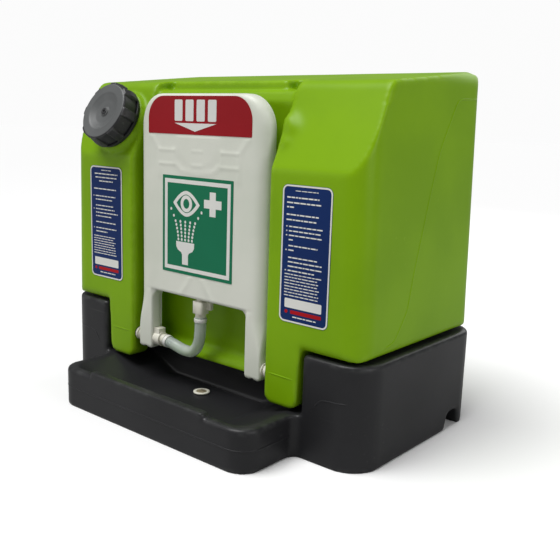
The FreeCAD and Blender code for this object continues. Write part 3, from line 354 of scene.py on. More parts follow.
def build_scratches():
    """Thin lines: the high parts of a noise that is stretched about thirty times one way."""
    group, given, result = new_group(
        "scratches",
        [("Colour", "Color", (1, 1, 1, 1)), ("Scratch Colour", "Color", (1, 1, 1, 1)),
         ("Amount", "Float", 0.2), ("Turn", "Vector", (0, 0, 0))],
        [("Colour", "Color"), ("Mask", "Float")])
    place = add_node(group, "TexCoord").outputs["Object"]
    turned = add_node(group, "Mapping", [("Vector", place), ("Rotation", given.outputs["Turn"]),
                                         ("Scale", (6, 160, 160))]).outputs[0]
    streak = noise(group, turned, 1.0, 3.0)
    where = noise(group, place, 9.0)
    line = ramp(group, streak, 0.66, 0.72)
    mask = math_node(group, "MULTIPLY", line, ramp(group, where, 0.5, 0.65))
    mask = math_node(group, "MULTIPLY", mask, given.outputs["Amount"])
    colour = mix_colour(group, mask, given.outputs["Colour"], given.outputs["Scratch Colour"])
    group.links.new(colour, result.inputs["Colour"])
    group.links.new(mask, result.inputs["Mask"])
    return group


SKIN = build_moulded_skin()
WEAR = build_edge_wear()
SCRATCHES = build_scratches()
print("effects:", [g.name for g in bpy.data.node_groups])

# %% [markdown]
# ## Finishes
#
# Most pieces are moulded plastic, so one function wires the three effects to a Principled shader
# and each finish gives it its own tones. Steel, labels and the clear hose have their own recipes.

# %% Plastics


def tone(red, green, blue):
    """A colour from its usual 0 to 255 values, turned to the linear values that shaders use."""
    return tuple((v / 255 / 12.92) if v <= 10 else ((v / 255 + 0.055) / 1.055) ** 2.4
                 for v in (red, green, blue))


def group_node(tree, group, links):
    """One of the shared effects as a node in a material."""
    return add_node(tree, "Group", links, node_tree=group)


def moulded(name, colour, second, gloss, grain=900.0, grain_depth=0.00002, worn=None, wear=0.0,
            scratch=0.0, drift=7.0, **constants):
    """Moulded plastic: skin, then edge wear, then scratches, over one Principled shader."""
    material = principled(name, colour, gloss, **constants)
    tree = material.node_tree
    shader = tree.nodes["Principled BSDF"]
    skin = group_node(tree, SKIN, [("Colour", (*colour, 1)), ("Second Tone", (*second, 1)),
                                   ("Drift Scale", drift), ("Grain Scale", grain), ("Gloss", gloss)])
    pale = (*(worn or second), 1)
    edges = group_node(tree, WEAR, [("Colour", skin.outputs["Colour"]), ("Worn Colour", pale),
                                    ("Amount", wear)])
    lines = group_node(tree, SCRATCHES, [("Colour", edges.outputs["Colour"]), ("Scratch Colour", pale),
                                         ("Amount", scratch), ("Turn", (0.3, 0.5, 0.9))])
    bump = add_node(tree, "Bump", [("Height", skin.outputs["Height"]), ("Distance", grain_depth)])
    tree.links.new(lines.outputs["Colour"], shader.inputs["Base Color"])
    tree.links.new(skin.outputs["Roughness"], shader.inputs["Roughness"])
    tree.links.new(bump.outputs["Normal"], shader.inputs["Normal"])
    return material


FINISHES = {
    "tank_green": moulded("tank_green", tone(129, 174, 0), tone(122, 166, 0), 0.34,
                          grain=700.0, grain_depth=0.00006, worn=tone(170, 205, 70), wear=0.12,
                          scratch=0.14, Specular_IOR_Level=0.2),
    "base_charcoal": moulded("base_charcoal", tone(38, 38, 40), tone(33, 33, 35), 0.32,
                             grain=800.0, grain_depth=0.00005, worn=tone(84, 86, 84), wear=0.25,
                             scratch=0.3, Specular_IOR_Level=0.3),
    "arm_white": moulded("arm_white", tone(226, 228, 216), tone(216, 220, 206), 0.36, grain=600.0,
                         worn=tone(240, 240, 236), wear=0.2),
    "fitting_white": moulded("fitting_white", tone(222, 220, 206), tone(206, 204, 188), 0.35,
                             drift=40.0),
    "hose_clear": moulded("hose_clear", tone(222, 230, 222), tone(208, 220, 212), 0.2, drift=30.0,
                          Transmission_Weight=0.5, IOR=1.42),
    "cap_grey": moulded("cap_grey", tone(40, 40, 42), tone(33, 33, 35), 0.38, grain=1100.0,
                        worn=tone(110, 112, 110), wear=0.3, scratch=0.25),
    "cap_face": moulded("cap_face", tone(96, 98, 98), tone(86, 88, 88), 0.42, grain=1100.0, drift=16.0,
                        worn=tone(140, 142, 140), wear=0.35, scratch=0.3),
    "seal_rubber": moulded("seal_rubber", tone(24, 24, 25), tone(32, 32, 32), 0.62, drift=60.0),
    "clip_plastic": moulded("clip_plastic", tone(226, 226, 220), tone(214, 214, 206), 0.3,
                            drift=60.0),
    "screen_steel": moulded("screen_steel", tone(190, 190, 192), tone(170, 170, 174), 0.28,
                            grain=3000.0, drift=120.0, Metallic=1.0),
    "pull_red": moulded("pull_red", tone(156, 2, 20), tone(148, 2, 17), 0.36, grain=1500.0,
                        grain_depth=0.000005, scratch=0.1, worn=tone(220, 120, 120),
                        Specular_IOR_Level=0.2),
    "sign_green": moulded("sign_green", tone(12, 116, 80), tone(9, 110, 75), 0.36, grain=1500.0,
                          grain_depth=0.000005, scratch=0.1, worn=tone(120, 190, 160),
                          Specular_IOR_Level=0.2),
    "notes_navy": moulded("notes_navy", tone(4, 42, 100), tone(3, 37, 92), 0.36, grain=1500.0,
                          grain_depth=0.000005, scratch=0.1, worn=tone(110, 130, 180),
                          Specular_IOR_Level=0.2),
    # The drain grating's tan, with darker blotches, is painted shade: it stands for the shadow inside
    # the white drain plug's bore.
    "drain_tan": moulded("drain_tan", tone(150, 140, 112), tone(110, 100, 78), 0.5, drift=150.0),
}
print(len(FINISHES), "finishes")

# %% Inks
INK_WHITE = moulded("ink_white", tone(232, 232, 226), tone(224, 224, 220), 0.4, grain=1500.0,
                    grain_depth=0.000004, Specular_IOR_Level=0.2)
INK_RED = moulded("ink_red", tone(180, 8, 22), tone(168, 6, 20), 0.4, grain=1500.0,
                  grain_depth=0.000004, Specular_IOR_Level=0.2)
print("inks are mixed")

# %% [markdown]
# ## Finishing the moulded bodies
#
# The tank and the base are rotationally moulded: plastic powder melts on the inside of a hot
# mould, so every corner comes out soft. The design's edges are right in size but crisp. A copy of
# each is merged, its holes are plugged, and a voxel remesh turns it to small even squares. The
# inner wall, which nobody sees, is then a surface of its own and is dropped. The vertices are
# pulled back onto the design and smoothed, which rounds each edge a little. Moulded details are
# small moves of whole arrays of vertices.

# %% Merged copies
WELD = 2e-6
SETTLE_REACH = 0.004
SMALL_SURFACE = 50
SMOOTH_IN, SMOOTH_OUT = 0.6, 0.5


def change_mesh(mesh, change):
    """Opens a mesh, makes one change to it and writes it back."""
    opened = bmesh.new()
    opened.from_mesh(mesh)
    change(opened)
    opened.to_mesh(mesh)
    opened.free()


def turn_faces_out(opened):
    """Turns every face of an opened mesh to look out of its surface."""
    bmesh.ops.recalc_face_normals(opened, faces=opened.faces)


def merged_copy(node, name):
    """A copy of a CAD node's mesh with its loose triangles welded into one surface."""
    source = frame["nodes"][node]
    mesh = source.data.copy()
    mesh.name = name
    mesh.transform(source.matrix_world)
    mesh.materials.clear()
    change_mesh(mesh, lambda m: bmesh.ops.remove_doubles(m, verts=m.verts, dist=WELD))
    copy = bpy.data.objects.new(name, mesh)
    bpy.context.scene.collection.objects.link(copy)
    return copy


def vertex_array(mesh, field="co"):
    """The mesh's vertex places or normals as an (n, 3) array."""
    values = np.empty(len(mesh.vertices) * 3, np.float32)
    if field == "co":
        mesh.vertices.foreach_get("co", values)
    else:
        mesh.vertex_normals.foreach_get("vector", values)
    return values.reshape(-1, 3).astype(float)


def set_vertices(mesh, points):
    """Moves the mesh's vertices to an (n, 3) array of places."""
    mesh.vertices.foreach_set("co", np.asarray(points, np.float32).ravel())
    mesh.update()


def push_out(mesh, distance):
    """Moves each vertex along its own normal by its own distance."""
    points, normals = vertex_array(mesh), vertex_array(mesh, "normal")
    set_vertices(mesh, points + normals * distance[:, None])


def edge_pairs(mesh):
    """The two ends of each edge as an (n, 2) array of vertex numbers."""
    pairs = np.empty(len(mesh.edges) * 2, np.int32)
    mesh.edges.foreach_get("vertices", pairs)
    return pairs.reshape(-1, 2)


def averaged(values, pairs, rounds=1):
    """Each vertex's value becomes the mean of its neighbours' values, several times over."""
    count = np.bincount(pairs.ravel(), minlength=len(values)).astype(float)
    count[count == 0] = 1
    for _ in range(rounds):
        total = np.zeros_like(values)
        np.add.at(total, pairs[:, 0], values[pairs[:, 1]])
        np.add.at(total, pairs[:, 1], values[pairs[:, 0]])
        values = total / (count[:, None] if values.ndim == 2 else count)
    return values


def soften(mesh, rounds):
    """Smooths almost without shrinking: each round goes in by one share, then out by a smaller."""
    pairs = edge_pairs(mesh)
    points = vertex_array(mesh)
    for _ in range(rounds):
        points = points + SMOOTH_IN * (averaged(points, pairs) - points)
        points = points - SMOOTH_OUT * (averaged(points, pairs) - points)
    set_vertices(mesh, points)


def mark_edges(mesh, spread=2, gain=6.0):
    """Stores how far each vertex stands out from its neighbours, as the edge attribute."""
    pairs = edge_pairs(mesh)
    points = vertex_array(mesh)
    normals = vertex_array(mesh, "normal")
    out = ((points - averaged(points, pairs, 2)) * normals).sum(axis=1)
    out = averaged(np.clip(out, 0, None), pairs, spread)
    size = np.linalg.norm(points[pairs[:, 0]] - points[pairs[:, 1]], axis=1).mean()
    edge = mesh.attributes.new("edge", "FLOAT", "POINT")
    edge.data.foreach_set("value", np.clip(out / size * gain, 0, 1).astype(np.float32))


def remeshed(piece, voxel):
    """Replaces the piece's mesh by even squares of about one voxel, all in one smooth shell."""
    remesh = piece.modifiers.new("even_squares", "REMESH")
    remesh.mode = "VOXEL"
    remesh.voxel_size = voxel
    remesh.use_smooth_shade = True
    done = bpy.data.meshes.new_from_object(
        piece.evaluated_get(bpy.context.evaluated_depsgraph_get()))
    piece.modifiers.clear()
    old = piece.data
    name = old.name
    piece.data = done
    bpy.data.meshes.remove(old)
    done.name = name
    done.polygons.foreach_set("use_smooth", [True] * len(done.polygons))
    done.update()
    return piece


def settle_on(piece, design, rounds):
    """Pulls every near vertex onto the closest point of the design, then softens the edges."""
    hold = piece.modifiers.new("settle", "SHRINKWRAP")
    hold.target = design
    hold.wrap_method = "NEAREST_SURFACEPOINT"
    settled = bpy.data.meshes.new_from_object(
        piece.evaluated_get(bpy.context.evaluated_depsgraph_get()))
    points = vertex_array(settled)
    piece.modifiers.clear()
    moved = points - vertex_array(piece.data)
    near = np.linalg.norm(moved, axis=1, keepdims=True) < SETTLE_REACH
    set_vertices(piece.data, vertex_array(piece.data) + moved * near)
    bpy.data.meshes.remove(settled)
    bpy.data.objects.remove(design)
    soften(piece.data, rounds)


def keep_outer_shell(piece):
    """Keeps the connected surface that spans the most, and drops the hidden ones inside it."""
    mesh = piece.data
    pairs = edge_pairs(mesh)
    label = np.arange(len(mesh.vertices))
    while True:
        low = np.minimum(label[pairs[:, 0]], label[pairs[:, 1]])
        following = label.copy()
        np.minimum.at(following, pairs[:, 0], low)
        np.minimum.at(following, pairs[:, 1], low)
        following = following[following]
        if (following == label).all():
            break
        label = following
    points = vertex_array(mesh)
    names, where = np.unique(label, return_inverse=True)
    sizes = np.bincount(where)
    spans = [np.ptp(points[where == k], axis=0).sum() if sizes[k] > SMALL_SURFACE else 0
             for k in range(len(names))]
    hidden = where != int(np.argmax(spans))
    change_mesh(mesh, lambda m: bmesh.ops.delete(
        m, geom=[v for v, gone in zip(m.verts, hidden) if gone], context="VERTS"))
    return len(names)


def finish_piece(piece, body, finish, nodes=(), material=None):
    """Gives a piece its material and body, and hides the CAD nodes that it stands for."""
    piece.data.materials.clear()
    piece.data.materials.append(material or FINISHES[finish])
    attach(piece, body)
    if nodes:
        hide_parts(*nodes)
    return piece


# %% [markdown]
# ## Tank
#
# The filler neck's hole and the two pivot holes would join the tank's inner wall to its outer
# one, so a plug closes each before the remesh. Then the shell gets what a moulding has: slow waves
# of less than half a millimetre in its flat walls, and a small bulge beside the right-hand
# shoulder.

# %% Shells with plugs
JOINTS = {joint["name"]: joint for joint in frame["record"]["behaviour"]["joints"]}
NECK_BASE, NECK_AXIS = (Vector(JOINTS["cap_turn"][key]) for key in ("pos_m", "axis"))
HINGE = Vector(JOINTS["arm_hinge"]["pos_m"])
ACROSS, UP = Vector((1, 0, 0)), Vector((0, 0, 1))


def add_plug(piece, place, axis, radius, length):
    """Adds a closed round plug to the piece's mesh, centred on a place along an axis."""
    spot = Matrix.Translation(place) @ axis.to_track_quat("Z", "Y").to_matrix().to_4x4()
    change_mesh(piece.data, lambda m: bmesh.ops.create_cone(
        m, cap_ends=True, segments=64, radius1=radius, radius2=radius, depth=length, matrix=spot))


def plugged_shell(node, name, plugs, voxel, rounds):
    """Outer surface of a moulded body in even squares, settled on the design and softened.

    Each plug is a place, an axis, a radius and a length."""
    piece = merged_copy(node, name)
    for plug in plugs:
        add_plug(piece, *plug)
    design = merged_copy(node, node + "_design")
    remeshed(piece, voxel)
    shells = keep_outer_shell(piece)
    settle_on(piece, design, rounds)
    print(name, "has", len(piece.data.polygons), "squares from", shells, "surfaces")
    return piece


def smooth_step(value, low, high):
    """0 up to low, 1 from high, and a smooth rise between."""
    t = np.clip((value - low) / (high - low), 0, 1)
    return t * t * (3 - 2 * t)


def slow_waves(points, depth, length):
    """Gentle unevenness: depth times a mix of sines that cross at odd angles, a length apart."""
    x, y, z = (points / length * 2 * math.pi).T
    return depth * (np.sin(x + 0.7 * z) + np.sin(0.8 * y - 1.1 * z + 1.3)
                    + np.sin(0.9 * x - 0.6 * y + 2.1)) / 3


def bump_at(points, centre, radius, height):
    """A soft round bump: height times the bell curve of the distance from its centre."""
    distance = np.linalg.norm(points - np.asarray(centre), axis=1)
    return height * np.exp(-(distance / radius) ** 2)


# %% Tank shell
TANK_VOXEL, TANK_ROUNDS = 0.0037, 7
NECK_PLUG_DEPTH, NECK_PLUG_RADIUS, NECK_PLUG_LENGTH = 0.012, 0.043, 0.006
BAY_WALL, PIVOT_PLUG_RADIUS, PIVOT_PLUG_LENGTH = 0.148, 0.0085, 0.005
WAVE_LENGTH, TANK_WAVES, BASE_WAVES = 0.16, 0.00015, 0.00012
SHOULDER_BULGE = [((0.153, -0.079, 0.463), 0.010, 0.004), ((0.160, -0.082, 0.452), 0.013, 0.005),
                  ((0.157, -0.092, 0.433), 0.009, 0.003)]

tank_plugs = [(NECK_BASE - NECK_AXIS * NECK_PLUG_DEPTH, NECK_AXIS, NECK_PLUG_RADIUS,
               NECK_PLUG_LENGTH)]
tank_plugs += [((wall, HINGE.y, HINGE.z), ACROSS, PIVOT_PLUG_RADIUS, PIVOT_PLUG_LENGTH)
               for wall in (-BAY_WALL, BAY_WALL)]
tank = plugged_shell("tank", "tank_shell", tank_plugs, TANK_VOXEL, TANK_ROUNDS)
points = vertex_array(tank.data)
move = slow_waves(points, TANK_WAVES, WAVE_LENGTH)
for centre, radius, height in SHOULDER_BULGE:
    move += bump_at(points, centre, radius, height)
push_out(tank.data, move)
mark_edges(tank.data)
finish_piece(tank, "stand", "tank_green", ["tank"])

# %% [markdown]
# ## Base
#
# The base is the same kind of moulding in charcoal, five millimetres thick. The drain's hole goes
# through the underside and the tray's floor, so it has a plug at each. The waves fade out at the
# foot, which stays flat on the ground.

# %% Base shell
BASE_VOXEL, BASE_ROUNDS = 0.0032, 5
DRAIN_PLUG_HEIGHTS, DRAIN_PLUG_RADIUS, DRAIN_PLUG_LENGTH = (0.0025, 0.0325), 0.0115, 0.0048
FLAT_FOOT = 0.01

drain_low, drain_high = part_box("drain_bush")
drain_x, drain_y = ((drain_low[k] + drain_high[k]) / 2 for k in (0, 1))
drain_plugs = [((drain_x, drain_y, height), UP, DRAIN_PLUG_RADIUS, DRAIN_PLUG_LENGTH)
               for height in DRAIN_PLUG_HEIGHTS]
base = plugged_shell("base", "base_shell", drain_plugs, BASE_VOXEL, BASE_ROUNDS)
points = vertex_array(base.data)
lifted = np.clip(points[:, 2] / FLAT_FOOT, 0, 1)
push_out(base.data, slow_waves(points, BASE_WAVES, WAVE_LENGTH) * lifted)
mark_edges(base.data)
finish_piece(base, "stand", "base_charcoal", ["base"])

# %% [markdown]
# ## Parting lines
#
# A rotational mould opens in halves, and where the halves meet the plastic keeps a thin raised
# line. On the tank it wanders down each side from the top to the seat; on the base it runs round
# the tray. Short ones cross the tank's front legs and the base's cheeks. Each is a narrow bead: a
# route in space, drawn onto the nearest surface of the finished body, with a flat half-round
# section carried along it. At two to three millimetres wide it is finer than the bodies' own
# squares, so it is a piece of its own.

# %% Seated beads
BEAD_STEP, BEAD_SIDES, BEAD_TAPER = 0.003, 12, 0.012


def stepped(corners, step):
    """Points about a step apart along straight runs, and how far along the runs each one is."""
    corners = np.array(corners, float)
    runs = np.linalg.norm(np.diff(corners, axis=0), axis=1)
    along = np.concatenate([[0], np.cumsum(runs)])
    place = np.linspace(0, along[-1], int(along[-1] / step) + 1)
    return np.column_stack([np.interp(place, along, values) for values in corners.T]), place


def eased(line, rounds):
    """Rounds the corners of a line: each inner point moves towards the mean of its neighbours."""
    for _ in range(rounds):
        line[1:-1] = (line[:-2] + 2 * line[1:-1] + line[2:]) / 4
    return line


def seated_bead(name, route, target, width, proud, body, finish):
    """Bead along a route: section = side * cos + normal * sin, seated on the target's surface.

    The route's points are spaced evenly and each moves to the closest point on the target. The
    bead grows thin towards its ends."""
    dense, place = stepped(route, BEAD_STEP)
    hits = [target.closest_point_on_mesh(Vector(p))[1:3] for p in eased(dense, 4)]
    seat, normal = (eased(np.array([tuple(h[k]) for h in hits]), 3) for k in (0, 1))
    normal /= np.linalg.norm(normal, axis=1, keepdims=True)
    side = np.cross(normal, np.gradient(seat, axis=0))
    side /= np.linalg.norm(side, axis=1, keepdims=True)
    turns = np.linspace(0, 2 * math.pi, BEAD_SIDES, endpoint=False)
    taper = np.clip(np.minimum(place, place[-1] - place) / BEAD_TAPER, 0.15, 1)[:, None, None]
    ring = (side[:, None] * np.cos(turns)[None, :, None] * width / 2
            + normal[:, None] * (np.sin(turns)[None, :, None] * proud)) * taper
    points = (seat[:, None] + ring).reshape(-1, 3)
    index = np.arange(len(seat) * BEAD_SIDES).reshape(len(seat), BEAD_SIDES)
    beside = np.roll(index, -1, axis=1)
    faces = np.stack([index[:-1], beside[:-1], beside[1:], index[1:]], axis=-1).reshape(-1, 4)
    piece = surface(name, points, faces.tolist())
    change_mesh(piece.data, lambda m: bmesh.ops.holes_fill(
        m, edges=[e for e in m.edges if e.is_boundary], sides=BEAD_SIDES))
    change_mesh(piece.data, turn_faces_out)
    return finish_piece(piece, body, finish)


# %% Parting lines
SIDE_LINE = [(0.196, 0.505), (0.190, 0.502), (0.123, 0.500), (0.115, 0.491), (0.075, 0.428),
             (0.051, 0.360), (0.020, 0.264), (0.006, 0.209), (-0.026, 0.170), (-0.050, 0.166)]
PILLAR_LINE = [(0.149, 0.1105), (0.170, 0.1100), (0.203, 0.1095)]
TRAY_LINE = [(-0.206, -0.118), (-0.206, -0.178), (-0.200, -0.197), (-0.190, -0.207),
             (-0.172, -0.214), (0.172, -0.214), (0.190, -0.207), (0.200, -0.197),
             (0.206, -0.178), (0.206, -0.118)]
CHEEK_PANEL = [(0.232, 0.073), (0.247, 0.094), (0.296, 0.097)]
BESIDE_TANK, FRONT_OF_LEDGE, TRAY_LEVEL = 0.325, -0.112, 0.032

beads = []
for side, sign in (("right", 1), ("left", -1)):
    side_route = [(sign * BESIDE_TANK, y, z) for y, z in SIDE_LINE]
    pillar_route, cheek_route = ([(sign * x, FRONT_OF_LEDGE, z) for x, z in line]
                                 for line in (PILLAR_LINE, CHEEK_PANEL))
    beads.append(seated_bead("tank_line_" + side, side_route, tank, 0.0030, 0.0007, "stand",
                             "tank_green"))
    beads.append(seated_bead("pillar_line_" + side, pillar_route, tank, 0.0020, 0.0005, "stand",
                             "tank_green"))
    beads.append(seated_bead("cheek_panel_" + side, cheek_route, base, 0.0024, 0.0006, "stand",
                             "base_charcoal"))
tray_route = [(x, y, TRAY_LEVEL) for x, y in TRAY_LINE]
beads.append(seated_bead("tray_line", tray_route, base, 0.0026, 0.0007, "stand", "base_charcoal"))
print(len(beads), "beads, longest", max(len(b.data.vertices) for b in beads), "points")

# %% [markdown]
# ## Arm shell
#
# The arm is a white hollow moulding: a plate with two legs. Its long sides roll away over more
# than twenty millimetres, but over only four near the feet, and its top edge over nine. The
# outline is lines and arcs, pushed back to a plain slab and remeshed. Then every vertex drops back
# by a quarter ellipse of its distance from the outline, and soft raised lines are added on the
# front. Last it is cut open at the back and given a wall, because the real one is a shell.

# %% Arm outline
ARM_VOXEL = 0.0021
arm_low, arm_high = (np.array(c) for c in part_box("arm_shell"))
ARM_HALF = arm_high[0]
ARM_TOP_RADIUS = 0.050
BACK_SPARE, BACK_CUT, ARM_WALL = 0.002, 0.0004, 0.0030
WINDOW_HALF, WINDOW_TOP, WINDOW_RADIUS = 0.102, 0.189, 0.014
LEG_MIDDLE = (ARM_HALF + WINDOW_HALF) / 2


def arc(centre, radius, start, end, steps=10):
    """Points on a circle about the centre, from one angle in degrees to another."""
    angles = np.radians(np.linspace(start, end, steps))
    return [(centre[0] + radius * math.cos(a), centre[1] + radius * math.sin(a)) for a in angles]


def arm_outline():
    """Closed outline of the arm in X and Z, anticlockwise from the left leg's outer foot."""
    foot, top = arm_low[2], arm_high[2]
    lobe = (ARM_HALF - WINDOW_HALF) / 4
    corner = ARM_HALF - ARM_TOP_RADIUS
    right = arc((LEG_MIDDLE - lobe, foot + lobe), lobe, 180, 330, 8)
    right += arc((LEG_MIDDLE + lobe, foot + lobe), lobe, 210, 360, 8)
    right += arc((corner, top - ARM_TOP_RADIUS), ARM_TOP_RADIUS, 0, 90, 24)
    window = arc((WINDOW_HALF - WINDOW_RADIUS, WINDOW_TOP - WINDOW_RADIUS), WINDOW_RADIUS, 90, 0)
    left = [(-x, z) for x, z in reversed(right)]
    return left + [(-x, z) for x, z in reversed(window)] + window + right


def slab(name, outline, front, back):
    """Closed slab: the outline at the front depth, the same at the back, and a wall between."""
    count = len(outline)
    points = [(x, y, z) for y in (front, back) for x, z in outline]
    walls = [(i, i + count, (i + 1) % count + count, (i + 1) % count) for i in range(count)]
    faces = [list(range(count)), list(range(2 * count - 1, count - 1, -1))] + walls
    piece = surface(name, points, faces)
    change_mesh(piece.data, turn_faces_out)
    return piece


arm = slab("arm_shell_finished", arm_outline(), arm_low[1], arm_high[1] + BACK_SPARE)
remeshed(arm, ARM_VOXEL)
print("arm slab:", len(arm.data.polygons), "squares")

# %% Arm rounding and relief
SIDE_ROLL, SIDE_DEPTH, FOOT_ROLL, TOP_ROLL = 0.024, 0.017, 0.004, 0.009
ROLL_STARTS, ROLL_FULL = HINGE.z + 0.014, HINGE.z + 0.075
WINDOW_EDGE, FOOT_EDGE, FOOT_EDGE_DEPTH = 0.003, 0.006, 0.005
PULL_CLEAR, SIGN_CLEAR, SIGN_HEIGHT = 0.4350, 0.0765, 0.3
LINE_LEVELS, LINE_WIDTH, SHORT_LINE_WIDTH, SOFT_WIDTH = (0.413, 0.392), 0.0022, 0.0020, 0.0050
LINE_PROUD, SOFT_PROUD, BOWL_PROUD = 0.0006, 0.0006, 0.0007
BOWL_HALF, BOWL_HEIGHT, BOWL_RISE = 0.052, 0.425, 0.046
SOFT_STROKES = [((0.104, 0.437), (0.085, 0.413)), ((0.085, 0.413), (0.084, 0.376)),
                ((0.050, 0.413), (0.050, 0.396)), ((0.050, 0.396), (0.034, 0.384)),
                ((0.034, 0.384), (0.0, 0.379)), ((0.012, 0.224), (0.020, 0.210)),
                ((0.020, 0.210), (0.036, 0.190))]


def arm_drop(x, z):
    """How far the front falls back: a quarter ellipse of the distance in from the outline.

    Beside the arm that distance is across, above it upwards, and round the top corners radial.
    The roll is a mix of the side's and the top's, by the square of the outline's direction."""
    cx, cz = ARM_HALF - ARM_TOP_RADIUS, arm_high[2] - ARM_TOP_RADIUS
    dx, dz = np.clip(np.abs(x) - cx, 0, None), np.clip(z - cz, 0, None)
    reach = np.hypot(dx, dz)
    across = np.where(reach > 1e-9, dx / np.maximum(reach, 1e-9), 1.0)
    inside = ARM_TOP_RADIUS - reach
    full = smooth_step(z, ROLL_STARTS, ROLL_FULL)
    side_roll = FOOT_ROLL + (SIDE_ROLL - FOOT_ROLL) * full
    side_depth = FOOT_ROLL + (SIDE_DEPTH - FOOT_ROLL) * full
    roll = side_roll * across ** 2 + TOP_ROLL * (1 - across ** 2)
    depth = side_depth * across ** 2 + TOP_ROLL * (1 - across ** 2)
    share = np.clip(1 - inside / roll, 0, 1)
    return depth * (1 - np.sqrt(1 - share ** 2))


def window_drop(x, z):
    """Small rounds: a quarter circle on the window's edge and a quarter ellipse at the feet."""
    beside = np.abs(x) - WINDOW_HALF
    above = z - WINDOW_TOP
    inside = np.where(above > 0, above, beside)
    share = np.clip(1 - inside / WINDOW_EDGE, 0, 1)
    foot = np.clip(1 - (z - arm_low[2]) / FOOT_EDGE, 0, 1)
    near = (np.abs(x) < ARM_HALF - WINDOW_EDGE)
    return (WINDOW_EDGE * (1 - np.sqrt(1 - share ** 2)) * near
            + FOOT_EDGE_DEPTH * (1 - np.sqrt(1 - foot ** 2)))


def ridge(x, z, start, end, width):
    """Bell-shaped ridge round a straight stroke: 1 on the stroke, fading over the width."""
    (ax, az), (bx, bz) = start, end
    along = np.clip(((x - ax) * (bx - ax) + (z - az) * (bz - az))
                    / ((bx - ax) ** 2 + (bz - az) ** 2), 0, 1)
    distance = np.hypot(x - ax - along * (bx - ax), z - az - along * (bz - az))
    return np.exp(-(distance / width) ** 2)


def arm_relief(x, z):
    """Raised lines on the arm's front, the soft strokes and the bowl, but none under a label."""
    side = np.abs(x)
    lines = np.zeros_like(x)
    for level in LINE_LEVELS:
        long_line = ridge(side, z, (0.050, level), (0.083, level), LINE_WIDTH)
        short_line = 0.6 * ridge(side, z, (0.0, level), (0.010, level), SHORT_LINE_WIDTH)
        lines = np.maximum(lines, np.maximum(long_line, short_line))
    soft = np.zeros_like(x)
    for start, end in SOFT_STROKES:
        soft = np.maximum(soft, ridge(side, z, start, end, SOFT_WIDTH))
    bowl = np.clip(1 - np.hypot(x / BOWL_HALF, (z - BOWL_HEIGHT) / BOWL_RISE), 0, 1)
    relief = LINE_PROUD * lines + SOFT_PROUD * soft + BOWL_PROUD * np.clip(bowl * 4, 0, 1)
    under_sign = (side < SIGN_CLEAR) & (np.abs(z - SIGN_HEIGHT) < SIGN_CLEAR)
    return np.where((z > PULL_CLEAR) | under_sign, 0.0, relief)


points = vertex_array(arm.data)
x, y, z = points.T
back = arm_high[1]
share = np.clip((back - y) / (back - arm_low[1]), 0, 1)
y = y + np.maximum(arm_drop(x, z), window_drop(x, z)) * share
set_vertices(arm.data, np.column_stack([x, y, z]))
soften(arm.data, 4)
points = vertex_array(arm.data)
normals = vertex_array(arm.data, "normal")
facing = np.clip(-normals[:, 1] * 2 - 1, 0, 1)
points[:, 1] -= arm_relief(points[:, 0], points[:, 2]) * facing
set_vertices(arm.data, points)
mark_edges(arm.data)
change_mesh(arm.data, lambda m: bmesh.ops.delete(
    m, geom=[f for f in m.faces if f.calc_center_median().y > back - BACK_CUT], context="FACES"))
wall = arm.modifiers.new("wall", "SOLIDIFY")
wall.thickness = ARM_WALL
wall.offset = -1
finish_piece(arm, "arm", "arm_white", ["arm_shell"])
print("arm shell:", len(arm.data.polygons), "squares before its wall")

# %% [markdown]
# ## Screw cap
#
# The cap turns about the neck's axis, so it is a surface of revolution: a closed profile of
# radius and height, carried round the axis. Its eight finger lugs are the same profile pushed out
# where the angle falls inside a lug. The face is a flat ring round a dish, with a small vent hub,
# and it has a lighter finish than the skirt.

# %% Revolved surfaces


def revolved(name, profile, turns, origin, axis, push):
    """Profile points carried round an axis: radius times a direction, plus height times the axis.

    The push function gives an extra radius for each radius, height and angle. The profile starts
    and ends on the axis, and each end is closed by one point with a fan round it."""
    axis = np.array(axis, float)
    side = np.cross(axis, (1.0, 0.0, 0.0))
    side /= np.linalg.norm(side)
    other = np.cross(axis, side)
    angle = np.linspace(0, 2 * np.pi, turns, endpoint=False)
    radius, height = profile[1:-1].T
    r = np.repeat(radius[:, None], turns, axis=1)
    h = np.repeat(height[:, None], turns, axis=1)
    r = r + push(r, h, angle[None, :])
    ring = np.cos(angle)[:, None] * side + np.sin(angle)[:, None] * other
    grid = np.asarray(origin) + r[..., None] * ring + h[..., None] * axis
    rows = len(radius)
    ends = [np.asarray(origin) + axis * profile[0, 1], np.asarray(origin) + axis * profile[-1, 1]]
    points = np.vstack([grid.reshape(-1, 3), ends])
    i, j = np.meshgrid(np.arange(rows - 1), np.arange(turns), indexing="ij")
    a = (i * turns + j).ravel()
    b = (i * turns + (j + 1) % turns).ravel()
    quads = np.column_stack([a, b, b + turns, a + turns]).tolist()
    k = np.arange(turns)
    first = np.column_stack([(k + 1) % turns, k, np.full(turns, rows * turns)]).tolist()
    tail = (rows - 1) * turns
    last = np.column_stack([tail + k, tail + (k + 1) % turns,
                            np.full(turns, rows * turns + 1)]).tolist()
    piece = surface(name, points, quads + first + last)
    change_mesh(piece.data, turn_faces_out)
    return piece


# %% Cap
CAP_FACE, CAP_FOOT, CAP_RADIUS = 0.043, 0.016, 0.048
CAP_DISH, CAP_DISH_FLOOR = 0.031, 0.0365
CAP_INSIDE, CAP_ROOF = 0.0422, 0.0335
CAP_STEP, CAP_TURNS = 0.0007, 384
LUGS, LUG_OUT, LUG_FADE = 8, 0.0050, 0.55


